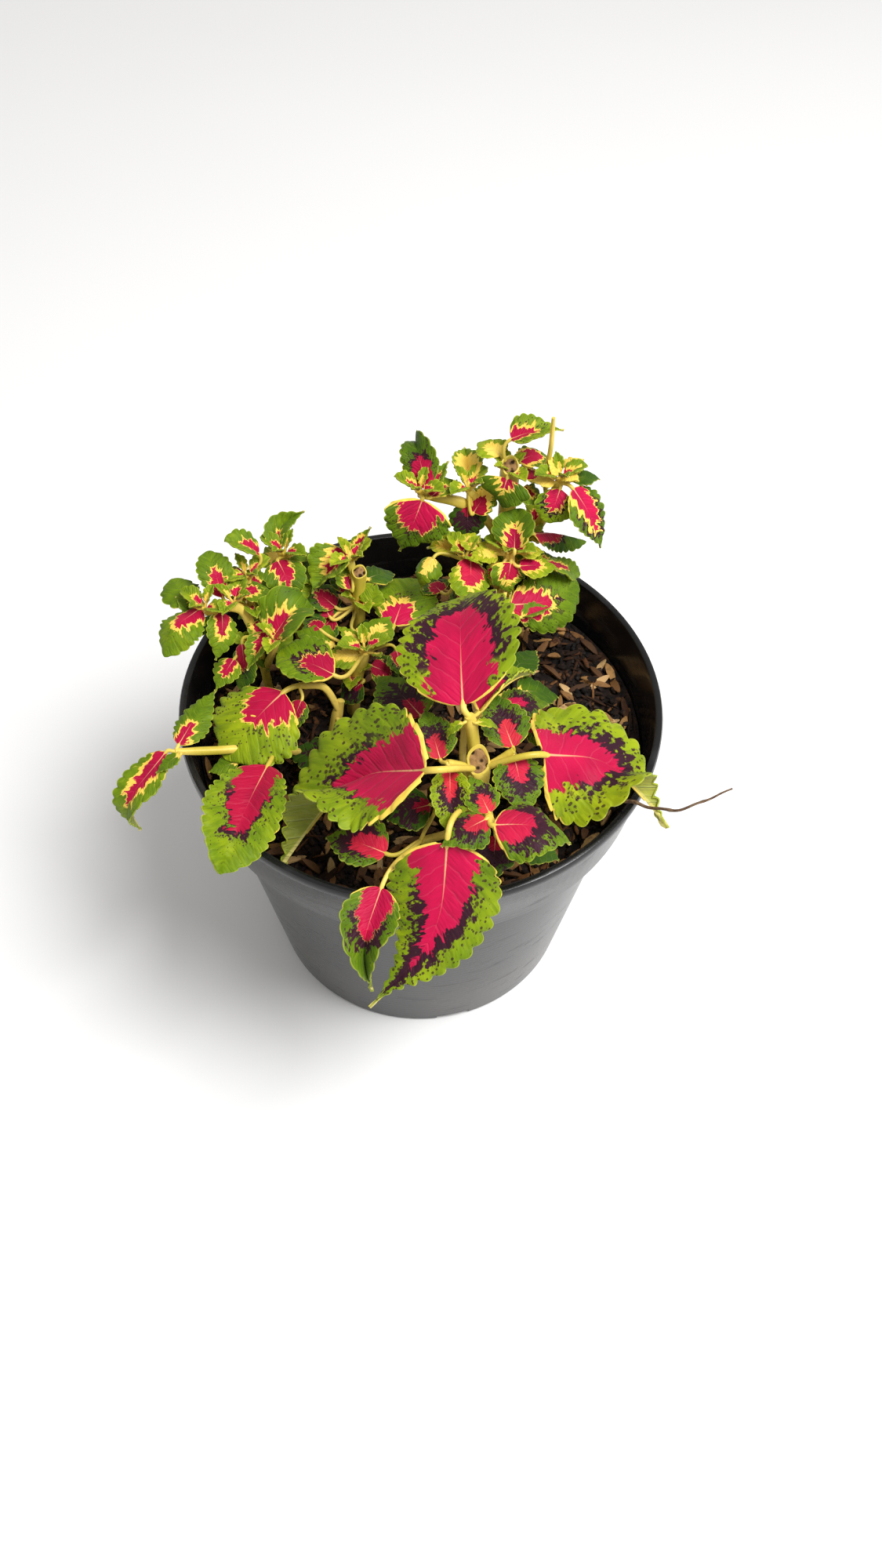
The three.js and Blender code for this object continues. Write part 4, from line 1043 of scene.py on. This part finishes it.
# %% Plant before the tall one
# One stem and one branch, with yellow young leaves at the top.
plant("plant_rear_centre", "rear_centre_plant", bushy=True)
stem(2.2, (31, 38, 96), (31, 38, 135), (30.5, 38, 163))
stem(1.3, (31, 38, 140), (22, 39, 152), (15, 39, 158))
tuft(30.5, 38, 161)
leaf((28, 38, 163), (19, 42, 163), 8, 40, "young", lime=0.8)
leaf((34, 38, 163), (43, 40, 161), 9, 40, "young", lime=0.85)
leaf((34, 34, 160), (48, 35, 158), 13, 30, "blush", reach=0.6, spread=0.6, halo=0.14)
leaf((26, 37, 163), (16, 33, 164), 10, 40, "young", lime=0.8)
leaf((31, 35, 161), (31, 30, 150), 16, 40, "cream", bend=40, roll=-30, twist=40, taper=POINTED, reach=0.6,
     spread=0.6, halo=0.26, lime=0.5)
leaf((28, 35, 160), (23, 31, 153), 9, 30, "blush")
leaf((32, 35, 167), (33, 47, 175), 17, 30, "halo", fold=20, roll=-20, taper=ROUND, halo=0.14, reach=0.6,
     lime=0.42)
tuft(31, 38, 150)
leaf((31, 25, 150), (56, 41, 146), 24, 30, "halo", bend=30, curl=30, roll=40, taper=ROUND, reach=0.55,
     spread=0.45, band=0.02, speck=0.7)
leaf((43, 36, 159), (57, 43, 147), 10, 30, "halo", twist=50, taper=ROUND)
leaf((38, 41, 156), (50, 45, 152), 10, 30, "halo")
leaf((35, 22, 147), (46, 28, 146), 9, 0, "plain", fold=40)
leaf((28, 27, 145), (34, 22, 139), 7, 30, "dusk")
leaf((27, 32, 148), (23, 27, 139), 12, 30, "ember")
tuft(15, 39, 158)
leaf((13, 45, 158), (2, 48, 155), 12, 80, "young", fold=40, roll=-30, taper=POINTED, lime=0.75)
leaf((4, 38, 160), (0, 32, 150), 12, 0, "young", hook=70, curl=60, taper=POINTED, reach=0.5, spread=0.3,
     lime=0.5)
leaf((20, 41, 162), (12, 46, 163), 9, 50, "young", lime=0.8)
leaf((18, 31, 152), (9, 28, 146), 12, 30, "ember", hue=0.4)
leaf((17, 37, 161), (17, 18, 158), 16, 0, "blush", curl=30, roll=-20, taper=ROUND, hue=0.65)
leaf((7, 38, 143), (1, 46, 141), 12, 30, "ember")
told()

# %% [markdown]
# ## Grow the plants
#
# Each plant becomes two pieces, its leaves and its stems, which stand for one part of the frame. At the
# shoot tips of the bushy plants, leaves are still unfolding: two crossed pairs, as coleus leaves stand
# opposite each other and each pair is turned a quarter from the one below it.

# %% Shoot tips
# of each pair: the length and width of a leaf, how steeply it rises, and its kind
TIP_PAIRS = ((8, 7.5, 0.35, "cream"), (5, 4.6, 0.9, "young"))
TIP_LEAF = dict(fold=30, lime=0.62, reach=0.5, spread=0.5, hue=0.5, taper=ROUND)
TIP_DROOP, TIP_LIFT, TIP_STALK, TURN_PER_TIP, TIP_SEEDS = 50, 2, 1.5, 73, 200


def shoot_tip(place, number):
    """The leaves still unfolding in the middle of a tuft."""
    young = []
    for i, (length, width, rise, kind) in enumerate(TIP_PAIRS):
        for way in (0, 180):
            angle = math.radians(TURN_PER_TIP * number + 90 * i + way)
            out = np.array([math.cos(angle), math.sin(angle), rise])
            base = np.add(place, (0, 0, TIP_LIFT)) + out * TIP_STALK
            young.append(full_leaf(base, base + out * length, width, TIP_DROOP, kind, TIP_LEAF))
    return young


# %% Grow one plant
def grow_plant(plant, seeds, tips):
    """All blades and all rods of one plant. The counts of leaves and tips go on from the last plant."""
    places = [place for place, _ in plant["tufts"]]
    rods = [grow_stem(radius, path, places, cut_blank if cut else stem_blank, cut)
            for radius, path, cut in plant["stems"]]
    blades = []
    for place, leaves in plant["tufts"]:
        to_grow = [(leaf, next(seeds)) for leaf in leaves]
        if plant["bushy"]:
            number = next(tips)
            to_grow += [(leaf, TIP_SEEDS + number) for leaf in shoot_tip(place, number)]
        for leaf, seed in to_grow:
            piece, spine, stalk = grow_blade(*leaf, seed)
            blades.append(piece)
            rods.append(grow_stalk(place, spine, stalk, stalk_blank))
    return blades, rods


# %% Grow every plant
THICKNESS = dict(thickness=BLADE_THICKNESS * MM, offset=-1, material_offset=1, use_quality_normals=False)
LEAF_CREASE, STEM_CREASE = 70, 50
seeds, tips = itertools.count(1), itertools.count(1)
for plant in PLANTS:
    blades, rods = grow_plant(plant, seeds, tips)
    leafage = joined(blades, plant["name"] + "_leaves")
    leafage.data.materials.clear()
    leafage.data.materials.append(top.material)
    leafage.data.materials.append(under.material)
    apply(leafage, "thickness", "SOLIDIFY", **THICKNESS)
    rounded(leafage, LEAF_CREASE)
    stems = joined(rods, plant["name"] + "_stems")
    outward(stems)
    rounded(stems, STEM_CREASE)
    for piece in (leafage, stems):
        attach(piece, "root")
        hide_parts(plant["node"])
    print(f"{plant['name']}: {len(blades)} leaves of {len(leafage.data.polygons)} faces")
for blank in (stem_blank, cut_blank, stalk_blank):
    bpy.data.objects.remove(blank)

# %% [markdown]
# ## The pot
#
# A nursery pot is injection moulded in black polypropylene: a thin tapered wall, a wider collar at the top
# so that pots don't jam when stacked, a rolled lip, drain holes and small notches in the foot. It is
# turned: one circle, extruded and resized from ring to ring down the outside, up the inside and closed at
# the floor.

# %% Turning tools
AXIS_RING = 2


def turned(name, profile, sides):
    """A body turned about the upright axis: a ring at the first place, carried through the rest."""
    radius, height = profile[0]
    bpy.ops.mesh.primitive_circle_add(vertices=sides, radius=radius * MM, location=(0, 0, 0))
    piece = fresh(name)
    bpy.ops.object.mode_set(mode="EDIT")
    bpy.ops.mesh.select_all(action="SELECT")
    bpy.ops.transform.translate(value=(0, 0, height * MM))
    for next_radius, next_height in profile[1:]:
        grow = next_radius / radius
        bpy.ops.mesh.extrude_edges_move()
        bpy.ops.transform.resize(value=(grow, grow, 1), center_override=(0, 0, 0))
        bpy.ops.transform.translate(value=(0, 0, (next_height - height) * MM))
        radius, height = next_radius, next_height
    return piece


def close_poles(piece, first_height):
    """Merge the last ring, which is still selected, and the first one, each to a point on the axis."""
    bpy.ops.mesh.merge(type="CENTER")
    bpy.ops.mesh.select_all(action="DESELECT")
    bpy.ops.mesh.select_mode(type="VERT")
    bpy.ops.object.mode_set(mode="OBJECT")
    for corner in piece.data.vertices:
        by_axis = math.hypot(corner.co.x, corner.co.y) < (AXIS_RING + 0.5) * MM
        corner.select = by_axis and corner.co.z < (first_height + 0.1) * MM
    bpy.ops.object.mode_set(mode="EDIT")
    bpy.ops.mesh.merge(type="CENTER")
    bpy.ops.object.mode_set(mode="OBJECT")
    outward(piece)


# %% Pot profile
POT_HEIGHT, RIM_RADIUS, LIP_DEPTH, LIP_WIDTH = 129, 85, 4, 2.8
COLLAR_TOP_RADIUS, COLLAR_FOOT_RADIUS, COLLAR_FOOT_Z = 84, 80, 101
BODY_TOP_RADIUS, BASE_RADIUS, WALL, FLOOR, FLOOR_LIFT = 75, 59, 1.6, 2, 0.6
POT_SIDES = 128
INNER = RIM_RADIUS - LIP_WIDTH

pot_profile = [
    (AXIS_RING, FLOOR_LIFT), (44, FLOOR_LIFT), (47, 0), (BASE_RADIUS - 0.8, 0), (BASE_RADIUS, 0.8),
    (BODY_TOP_RADIUS - 0.5, 96), (BODY_TOP_RADIUS, 99), (BODY_TOP_RADIUS + 0.7, 100.2),
    (COLLAR_FOOT_RADIUS - 1, 100.8), (COLLAR_FOOT_RADIUS - 0.2, 101.2), (COLLAR_FOOT_RADIUS, 102),
    (COLLAR_TOP_RADIUS - 0.2, 124), (COLLAR_TOP_RADIUS + 0.3, 124.8), (RIM_RADIUS - 0.3, 125.1),
    (RIM_RADIUS, 125.8), (RIM_RADIUS, 127.9), (RIM_RADIUS - 0.4, 128.7), (RIM_RADIUS - 1.1, POT_HEIGHT),
    (INNER + 0.9, POT_HEIGHT), (INNER + 0.2, 128.6), (INNER, 127.8), (INNER - 0.1, 125),
    (COLLAR_FOOT_RADIUS - WALL, 102.6), (BODY_TOP_RADIUS - WALL + 0.6, 100.8), (BODY_TOP_RADIUS - WALL, 99.5),
    (BASE_RADIUS - WALL, 3.2), (BASE_RADIUS - WALL - 1, FLOOR), (AXIS_RING, FLOOR),
]
pot = turned("nursery_pot", pot_profile, POT_SIDES)
close_poles(pot, FLOOR_LIFT)
print("pot corners:", len(pot.data.vertices))

# %% Foot notches and drain holes
NOTCHES, FIRST_NOTCH, NOTCH_WIDTH, NOTCH_HEIGHT, NOTCH_DEPTH = 4, -77, 13, 2.5, 9
DRAINS, DRAIN_RADIUS, DRAIN_RING, DRAIN_SIDES = 6, 4, 36, 40
POT_CREASE = 32
cutters = []
for i in range(NOTCHES):
    bpy.ops.mesh.primitive_cube_add(size=1)
    cutter = fresh("notch cutter")
    only(cutter)
    turn = math.radians(FIRST_NOTCH + 360 * i / NOTCHES)
    middle = (BASE_RADIUS - NOTCH_DEPTH / 2 + 1) * MM
    cutter.dimensions = ((NOTCH_DEPTH + 2) * MM, NOTCH_WIDTH * MM, NOTCH_HEIGHT * 2 * MM)
    cutter.location = (middle * math.cos(turn), middle * math.sin(turn), 0)
    cutter.rotation_euler.z = turn
    bpy.ops.object.transform_apply(location=True, rotation=True, scale=True)
    cutters.append(cutter)
for i in range(DRAINS):
    turn = math.radians(360 * i / DRAINS)
    bpy.ops.mesh.primitive_cylinder_add(vertices=DRAIN_SIDES, radius=DRAIN_RADIUS * MM, depth=FLOOR * 4 * MM)
    cutter = fresh("drain cutter")
    cutter.location = (DRAIN_RING * MM * math.cos(turn), DRAIN_RING * MM * math.sin(turn), FLOOR / 2 * MM)
    bpy.ops.object.transform_apply(location=True)
    cutters.append(cutter)
cutter = joined(cutters, "foot cutters")
outward(cutter)
apply(pot, "cut", "BOOLEAN", operation="DIFFERENCE", solver="EXACT", object=cutter)
bpy.data.objects.remove(cutter)
rounded(pot, POT_CREASE)
print("pot faces after the cuts:", len(pot.data.polygons))

# %% [markdown]
# Moulded black plastic: satin, with a fine leathery texture, faint rings from the turned mould, handling
# scuffs and a little dust towards the foot.

# %% Pot plastic
plastic = Board("black moulded plastic", Specular_IOR_Level=0.4)
where = plastic.place()
height = plastic.height_of(where)
cloud = plastic.noise(where, 22, 4)
scuff = plastic.fade(plastic.noise(plastic.stretched(where, 1, 1, 6), 60, 5), 0.56, 0.75)
dust = plastic.times(plastic.fade(height, 0.0, 0.05, 0.2, 0.03), plastic.fade(cloud, 0.35, 0.7))
black = plastic.over(cloud, paint(10, 11, 13), paint(19, 20, 22))
black = plastic.over(plastic.times(scuff, 0.12), black, paint(92, 92, 94))
plastic.drive("Base Color", plastic.over(dust, black, paint(138, 128, 116)))
plastic.drive("Roughness", plastic.plus(plastic.scaled(cloud, 0.14, 0.18), plastic.times(scuff, 0.14)))
rings = plastic.math("SINE", plastic.times(height, 2600))
leather = plastic.noise(where, 1400, 2)
plastic.raise_by(plastic.plus(plastic.times(leather, 0.7), plastic.times(rings, 0.12)), 0.0001, 0.35)
pot.data.materials.append(plastic.material)
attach(pot, "root")
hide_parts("pot")

# %% [markdown]
# ## The compost
#
# A peat and bark mix, nearly black and wet-looking in the hollows, with crumbs, torn bark and many pale
# rice husks, which are boat-shaped, ribbed and about 9 mm long. The bed is turned like the pot and its top
# is lifted into soft lumps; crumbs, bark and husks lie on it, half sunk. A particle system could strew them
# too, but particles are lost in the export, so every piece is placed in code, with random numbers from one
# seed.

# %% Compost bed
SOIL_GAP, SOIL_TOP, SOIL_RELIEF, SOIL_FADE, SOIL_RINGS, SOIL_SIDES = 0.4, 110, 1.4, 15, 60, 120
SOIL_CREASE = 60
SLOPE = (INNER - COLLAR_FOOT_RADIUS + WALL) / (POT_HEIGHT - LIP_DEPTH - COLLAR_FOOT_Z - WALL)
SOIL_RADIUS = COLLAR_FOOT_RADIUS - WALL - SOIL_GAP + SLOPE * (SOIL_TOP - COLLAR_FOOT_Z - WALL - SOIL_GAP)
# of each set of small lumps: how close they lie, how high they are and which way they run
LUMPS = ((0.7, 0.5, 0.4), (0.9, 0.45, 1.9), (1.4, 0.3, 2.7), (1.9, 0.25, 1.1), (2.6, 0.2, 0.2))


def relief(x, y):
    """The ground's own height above its level, the same as in the frame."""
    inside = smooth((SOIL_RADIUS - np.hypot(x, y)) / SOIL_FADE)
    swells = np.sin(x * 0.13 + 1) * np.cos(y * 0.11) + 0.6 * np.sin(x * 0.31 - y * 0.27)
    return inside * SOIL_RELIEF * swells


def crumble(x, y):
    """Small lumps on top of it."""
    lumps = sum(high * np.sin(x * close * math.cos(way) + y * close * math.sin(way) + 5 * way)
                for close, high, way in LUMPS)
    return lumps * smooth((SOIL_RADIUS - np.hypot(x, y)) / 4)


soil_profile = [(AXIS_RING, FLOOR + SOIL_GAP), (BASE_RADIUS - WALL - SOIL_GAP - 0.6, FLOOR + SOIL_GAP),
                (BODY_TOP_RADIUS - WALL - SOIL_GAP, 99.9), (COLLAR_FOOT_RADIUS - WALL - SOIL_GAP - 0.2, 103)]
soil_profile += [(SOIL_RADIUS * i / SOIL_RINGS, SOIL_TOP) for i in range(SOIL_RINGS, 0, -1)]
bed = turned("compost_bed", soil_profile, SOIL_SIDES)
close_poles(bed, FLOOR + SOIL_GAP)
ground = corners(bed) / MM
x, y, z = ground.T
ground[:, 2] += np.where(z > SOIL_TOP - 0.01, relief(x, y) + 0.55 * crumble(x, y), 0)
set_corners(bed, ground * MM)
rounded(bed, SOIL_CREASE)
print("compost from", FLOOR + SOIL_GAP, "to", round(float(ground[:, 2].max()), 1), "mm")


# %% Shapes of a crumb and a husk
def taken(piece):
    """The corners and faces of a piece, which is then removed."""
    shape, faces = corners(piece), [tuple(face.vertices) for face in piece.data.polygons]
    bpy.data.objects.remove(piece)
    return shape, faces


def crumb_shape():
    """A plain crumb or chip of length, width and depth 1, as its corners and faces."""
    bpy.ops.mesh.primitive_ico_sphere_add(subdivisions=1, radius=0.5)
    return taken(fresh("crumb"))


def husk_shape():
    """A boat-shaped husk of the same size, pinched at its ends and cupped in the middle."""
    bpy.ops.mesh.primitive_uv_sphere_add(segments=6, ring_count=6, radius=0.5)
    shape, faces = taken(fresh("husk"))
    shape = shape[:, [2, 0, 1]]
    shape[:, 1] *= 1 - 0.35 * np.abs(shape[:, 0] * 2) ** 2
    shape[:, 2] += 0.35 * (1 - (shape[:, 0] * 2) ** 2) * (shape[:, 1] ** 2) * 4
    return shape, faces


# %% Strew small pieces over the ground
def clear_of_stems(x, y, room):
    return all(math.hypot(x - path[0][0], y - path[0][1]) > radius + room
               for plant in PLANTS for radius, path, _ in plant["stems"] if path[0][2] < SOIL_TOP)


def strew(name, count, model, sizes, uneven, lie, sunk, rng):
    """Many small pieces of these sizes, lying more or less flat and sunk by a share of their depth."""
    places, faces, shades = [], [], []
    shape, face_list = model
    while len(shades) < count:
        r, a = (SOIL_RADIUS - 1) * math.sqrt(rng.random()), 2 * math.pi * rng.random()
        x, y = r * math.cos(a), r * math.sin(a)
        size = np.array([rng.uniform(*s) for s in sizes])
        if not clear_of_stems(x, y, size[0] * 0.3):
            continue
        yaw, pitch, roll = rng.uniform(0, 2 * math.pi), rng.normal(0, lie), rng.normal(0, lie)
        if r + size[0] / 2 > SOIL_RADIUS:
            yaw = a + math.pi / 2 + rng.normal(0, 0.2)
        one = shape * size * (1 + rng.normal(0, 0.1, shape.shape) * uneven)
        spin = Matrix.Rotation(yaw, 3, "Z") @ Matrix.Rotation(pitch, 3, "Y") @ Matrix.Rotation(roll, 3, "X")
        one = one @ np.array(spin).T
        level = SOIL_TOP + relief(x, y) + 0.5 * crumble(x, y)
        one += (x, y, level + size[2] * (0.5 - sunk) + abs(math.sin(pitch)) * size[0] * 0.3)
        if np.hypot(one[:, 0], one[:, 1]).max() > SOIL_RADIUS - 0.5:
            continue
        faces += [tuple(v + len(places) * len(shape) for v in face) for face in face_list]
        places.append(one)
        shades.append(rng.random())
    mesh = bpy.data.meshes.new(name)
    mesh.from_pydata((np.vstack(places) * MM).tolist(), [], faces)
    piece = bpy.data.objects.new(name, mesh)
    bpy.context.collection.objects.link(piece)
    _, across, _ = shape.T + 0.5
    note(piece, "shade", np.repeat(shades, len(shape)), np.tile(across, count))
    outward(piece)
    rounded(piece, SOIL_CREASE)
    return piece


GROUND_SEED, QUICK_SHARE = 11, 0.4
few = 1
rng = np.random.default_rng(GROUND_SEED)
chip, boat = crumb_shape(), husk_shape()
crumbs = strew("compost_crumbs", int(2900 * few), chip, ((1.2, 4.8), (1.0, 3.4), (0.8, 2.8)),
               uneven=1, lie=0.5, sunk=0.3, rng=rng)
bark = strew("bark_and_fibres", int(1300 * few), chip, ((4, 14), (0.6, 3.2), (0.4, 1.3)),
             uneven=1, lie=0.3, sunk=0.1, rng=rng)
husks = strew("rice_husks", int(430 * few), boat, ((8, 11), (2.4, 3.6), (1.2, 2.0)),
              uneven=0, lie=0.3, sunk=0.0, rng=rng)
print("faces in the compost:", sum(len(p.data.polygons) for p in (bed, crumbs, bark, husks)))

# %% [markdown]
# Wet compost is a dark, uneven brown with soft gloss in places; bark is a redder brown with lengthwise
# fibres; a husk is straw-coloured, ribbed along its length and greyer where it has weathered.

# %% Compost finishes
peat = Board("dark compost", Specular_IOR_Level=0.25)
where = peat.place()
clump = peat.noise(where, 260, 5)
peat.drive("Base Color", peat.ramp(clump, (0.35, paint(6, 4, 3)), (0.75, paint(84, 54, 32)),
                                   (0.55, paint(28, 17, 11))))
peat.drive("Roughness", peat.fade(peat.noise(where, 90, 2), 0.3, 0.7, 0.55, 0.95))
peat.raise_by(peat.noise(where, 700, 4), 0.0012, 0.9)

fibrous = Board("torn bark", Roughness=0.85, Specular_IOR_Level=0.2)
_, (shade, _, _) = fibrous.read("shade")
where = fibrous.place()
bark_tone = fibrous.ramp(shade, (0.0, paint(18, 11, 7)), (1.0, paint(150, 100, 56)),
                         (0.45, paint(44, 26, 14)), (0.8, paint(92, 56, 30)))
fibrous.drive("Base Color", fibrous.over(fibrous.noise(where, 800, 4), bark_tone, paint(22, 13, 8)))
fibrous.raise_by(fibrous.noise(where, 1200, 3), 0.0005, 0.8)

straw = Board("rice husk", Roughness=0.7, Specular_IOR_Level=0.3)
_, (shade, across, _) = straw.read("shade")
ribs = straw.math("PINGPONG", straw.times(across, 7.0), 0.5)
husk_tone = straw.ramp(shade, (0.0, paint(66, 40, 20)), (1.0, paint(208, 174, 120)),
                       (0.4, paint(118, 80, 40)), (0.75, paint(178, 134, 78)))
husk_tone = straw.over(straw.times(ribs, 0.5), husk_tone, paint(98, 66, 38))
weathered = straw.fade(straw.noise(straw.place(), 500, 3), 0.5, 0.75, 0.0, 0.6)
straw.drive("Base Color", straw.over(weathered, husk_tone, paint(60, 42, 28)))
straw.raise_by(ribs, 0.0003, 0.6)

for piece, board in ((bed, peat), (crumbs, peat), (bark, fibrous), (husks, straw)):
    piece.data.materials.append(board.material)
    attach(piece, "root")
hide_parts("compost")

# %% [markdown]
# ## The dry twig
#
# A thin bare twig lies in the compost and leans out over the rim: wiry, a little kinked, thinner at its
# end, with small knots. A bevelled curve could draw it too, but the rod of the stems already takes a radius
# for every ring, and so gives it its knots.

# %% Twig shape
TWIG_RADIUS, TWIG_SIDES, TWIG_POINTS, TWIG_WOBBLE = 0.8, 12, 81, 0.35
TWIG_PATH = [(58, -35, 104), (62, -41, 118), (66, -46, 131), (82, -57, 141), (99, -55, 150)]
KNOTS, KNOT_LENGTH, KNOT_SWELL = (0.35, 0.52, 0.7, 0.86), 0.012, 0.3

line, twig_length = smooth_path(TWIG_PATH, TWIG_POINTS)
run = np.linspace(0, 1, TWIG_POINTS)
knots = sum(np.exp(-(((run - at) / KNOT_LENGTH) ** 2)) for at in KNOTS)
radii = TWIG_RADIUS * (0.95 - 0.6 * run**1.5) * (1 + KNOT_SWELL * knots)
wobble = TWIG_WOBBLE * np.sin(run * 40)[:, None] * smooth(run * 5)[:, None] * smooth((1 - run) * 8)[:, None]
twig = rod_blank("dry_twig", TWIG_SIDES, TWIG_POINTS - 1)
string_along(twig, line + wobble * np.array([0.3, 0.8, 0.2]), radii)
outward(twig)
rounded(twig, STEM_CREASE)
print("twig length:", round(float(twig_length)), "mm")

# %% Twig bark
bare = Board("dry bark", Roughness=0.85, Specular_IOR_Level=0.2)
streak = bare.noise(bare.stretched(bare.place(), 0.3, 1, 1), 900, 4)
bare.drive("Base Color", bare.ramp(streak, (0.25, paint(58, 42, 32)), (0.8, paint(150, 124, 98)),
                                   (0.5, paint(104, 80, 60))))
bare.raise_by(streak, 0.0004, 0.8)
twig.data.materials.clear()
twig.data.materials.append(bare.material)
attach(twig, "root")
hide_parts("twig")

# %% [markdown]
# ## Size
#
# Both boxes are printed, the frame's and the dressed model's. The dressed model has to
# stay inside the frame's box.

# %% Sizes
bpy.context.view_layer.update()
made_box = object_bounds()
plain = lambda box: [[round(float(c), 5) for c in corner] for corner in box]
{"cad_box_m": plain(cad_box), "visual_box_m": plain(made_box)}
print("frame box:", plain(cad_box))
print("dressed box:", plain(made_box))
